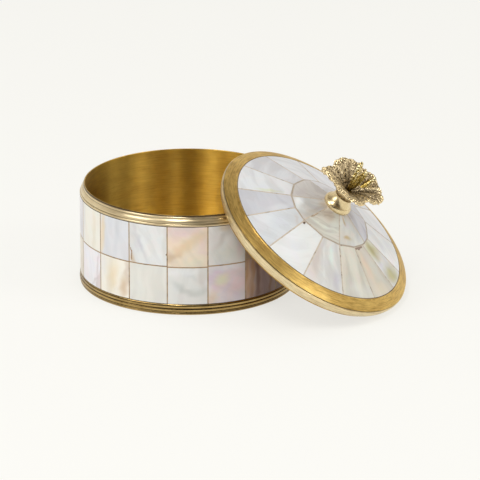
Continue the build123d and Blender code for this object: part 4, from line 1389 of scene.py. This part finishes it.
# %% Pits, veins and wear
PIT_SCALES = (1.0, 1.9)  # turns per millimetre of the broad and the small pits
SMALL_PITS = 1.4  # how deep the small pits are beside the broad ones
RUB_GROWTH = 1.9  # how much deeper the pits are where the skin is rubbed
VEIN_TURNS, VEIN_PITCH = 9, 0.22  # veins run outwards: they change fast round the axis, slowly along it
NEIGHBOUR_ROUNDS = 10  # how far round a point its neighbours are looked at
PROUD_SHARE = 2.2  # how much wear a point gets for each millimetre that it stands out


def mould_marks(points, rubbed, pit_depth, vein_depth):
    """How far pits and veins move each point along its normal, in millimetres."""
    broad, small = PIT_SCALES
    pits = np.array([noise.noise(Vector(p) * broad) + SMALL_PITS * min(0, noise.noise(Vector(p) * small))
                     for p in points])
    radius = np.hypot(points[:, 0], points[:, 1])
    heading = points[:, :2] / (radius[:, None] + 0.5) * VEIN_TURNS
    veins = np.array([noise.noise(Vector((x, y, r * VEIN_PITCH))) for (x, y), r in zip(heading, radius)])
    deeper = 0.7 + RUB_GROWTH * np.clip((rubbed - 0.42) / 0.25, 0, 1)
    return pit_depth * deeper * pits + vein_depth * veins * np.clip(radius / 8, 0, 1)


def proud(skin, points, normals):
    """How far each point stands out from the points round it."""
    ends = np.empty(len(skin.edges) * 2, int)
    skin.edges.foreach_get("vertices", ends)
    ends = ends.reshape(-1, 2)
    flat = points.copy()
    for _ in range(NEIGHBOUR_ROUNDS):
        total, count = np.zeros_like(flat), np.zeros(len(flat))
        for a, b in (ends.T, ends.T[::-1]):
            np.add.at(total, a, flat[b])
            np.add.at(count, a, 1)
        flat = total / count[:, None]
    return ((points - flat) * normals).sum(1)


def cast(name, sheets, material, rounds, wear, pit_depth, vein_depth):
    """Sheets merged into one skin, pitted and veined. `wear` gives how rubbed each point is before its own
    bumps and hollows are counted, and the sum is kept in `worn`."""
    made = merge(name, sheets, rounds)
    skin = made.data
    points, normals = read_vectors(skin) / MM, read_vectors(skin, "normal")
    rubbed = wear(points)
    points += normals * mould_marks(points, rubbed, pit_depth, vein_depth)[:, None]
    worn = rubbed + proud(skin, points, normals) * PROUD_SHARE
    skin.attributes.new("worn", "FLOAT", "POINT").data.foreach_set("value", worn)
    skin.vertices.foreach_set("co", (out_of(LID, points) * MM).ravel())
    skin.polygons.foreach_set("use_smooth", [True] * len(skin.polygons))
    skin.update()
    skin.materials.clear()
    skin.materials.append(material)
    return made


print("wear is judged from", NEIGHBOUR_ROUNDS, "squares round each point")

# %% [markdown]
# Cast brass is cleaned only where a cloth reaches. It is pale on the rim and on each bump, tan on the petals
# and near black in the pits and the throat. The mesh already knows how worn each point is, so the finish
# turns that one number into colour and shine, and adds a grain too fine to model.

# %% Cast brass
def cast_finish(name, grain, *stops):
    """Cast brass: bright where it is proud and rubbed, dark in the hollows. `grain` is how much fine grit
    shows; with more of it the pits are darker too."""
    material, tree, shader = new_finish(name)
    worn = add(tree, "Attribute", attribute_name="worn").outputs["Fac"]
    place = own_place(tree, LID)
    grit = speckle(tree, place, 1.7, 5.0, 0.7)
    share = maths(tree, "ADD", worn, maths(tree, "MULTIPLY_ADD", grit, grain, -grain / 2))
    pitted = spread(tree, speckle(tree, place, 1.15, 2.0, 0.5), 0.54, 0.63, 1.12, 1.3 - grain)
    share = maths(tree, "MULTIPLY", share, pitted)
    set_shader(tree, shader, Base_Color=ramp(tree, share, *stops), Metallic=1.0,
               Roughness=spread(tree, share, 0.1, 0.8, 0.48, 0.24), Normal=raised(tree, grit, 0.15))
    return material


cast_brass = cast_finish("cast_brass", 1.05, (0.05, srgb(76, 64, 44)), (0.26, srgb(166, 147, 115)),
                         (0.52, srgb(220, 201, 162)), (0.85, srgb(250, 228, 180)))
stamen_brass = cast_finish("stamen_brass", 0.4, (0.12, srgb(44, 32, 14)), (0.38, srgb(116, 92, 38)),
                           (0.62, srgb(190, 162, 84)), (0.95, srgb(250, 238, 194)))
print("cast finishes:", cast_brass.name, "and", stamen_brass.name)

# %% [markdown]
# What is left is to say how rubbed each part is: petals by how far out they are, stamens by how high. Then
# both pieces are cast. They stay two pieces, because the construction model has a node for each.

# %% Flower and stamens
turns, reaches, _ = rim_line(180)
rim_reach = (np.degrees(turns), reaches)


def petal_wear(points):
    """Petals are dull in the throat and rubbed bright along the rim."""
    reach = np.interp(np.degrees(np.arctan2(points[:, 1], points[:, 0])), *rim_reach, period=360)
    share = np.hypot(points[:, 0], points[:, 1]) / reach
    return 0.08 + 0.32 * np.clip(share / 0.7, 0, 1) + 0.27 * np.clip((share - 0.86) / 0.1, 0, 1)


def stamen_wear(points):
    """Stamens are dull in the throat and brighter towards their tips."""
    return 0.2 + 0.04 * (points[:, 2] - THROAT[1]).clip(0, 9)


flower = cast("flower", bowl() + [cup(), ball(*KNOB_TIP)], cast_brass, 2, petal_wear, 0.24, 0.1)
stamens = cast("stamens", [leaf(*shape) for shape in LEAVES], stamen_brass, 1, stamen_wear, 0.16, 0.0)
for made, node in ((flower, "knob_flower"), (stamens, "knob_stamens")):
    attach(made, "lid")
    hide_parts(node)
print("flower", len(flower.data.polygons), "faces, stamens", len(stamens.data.polygons))
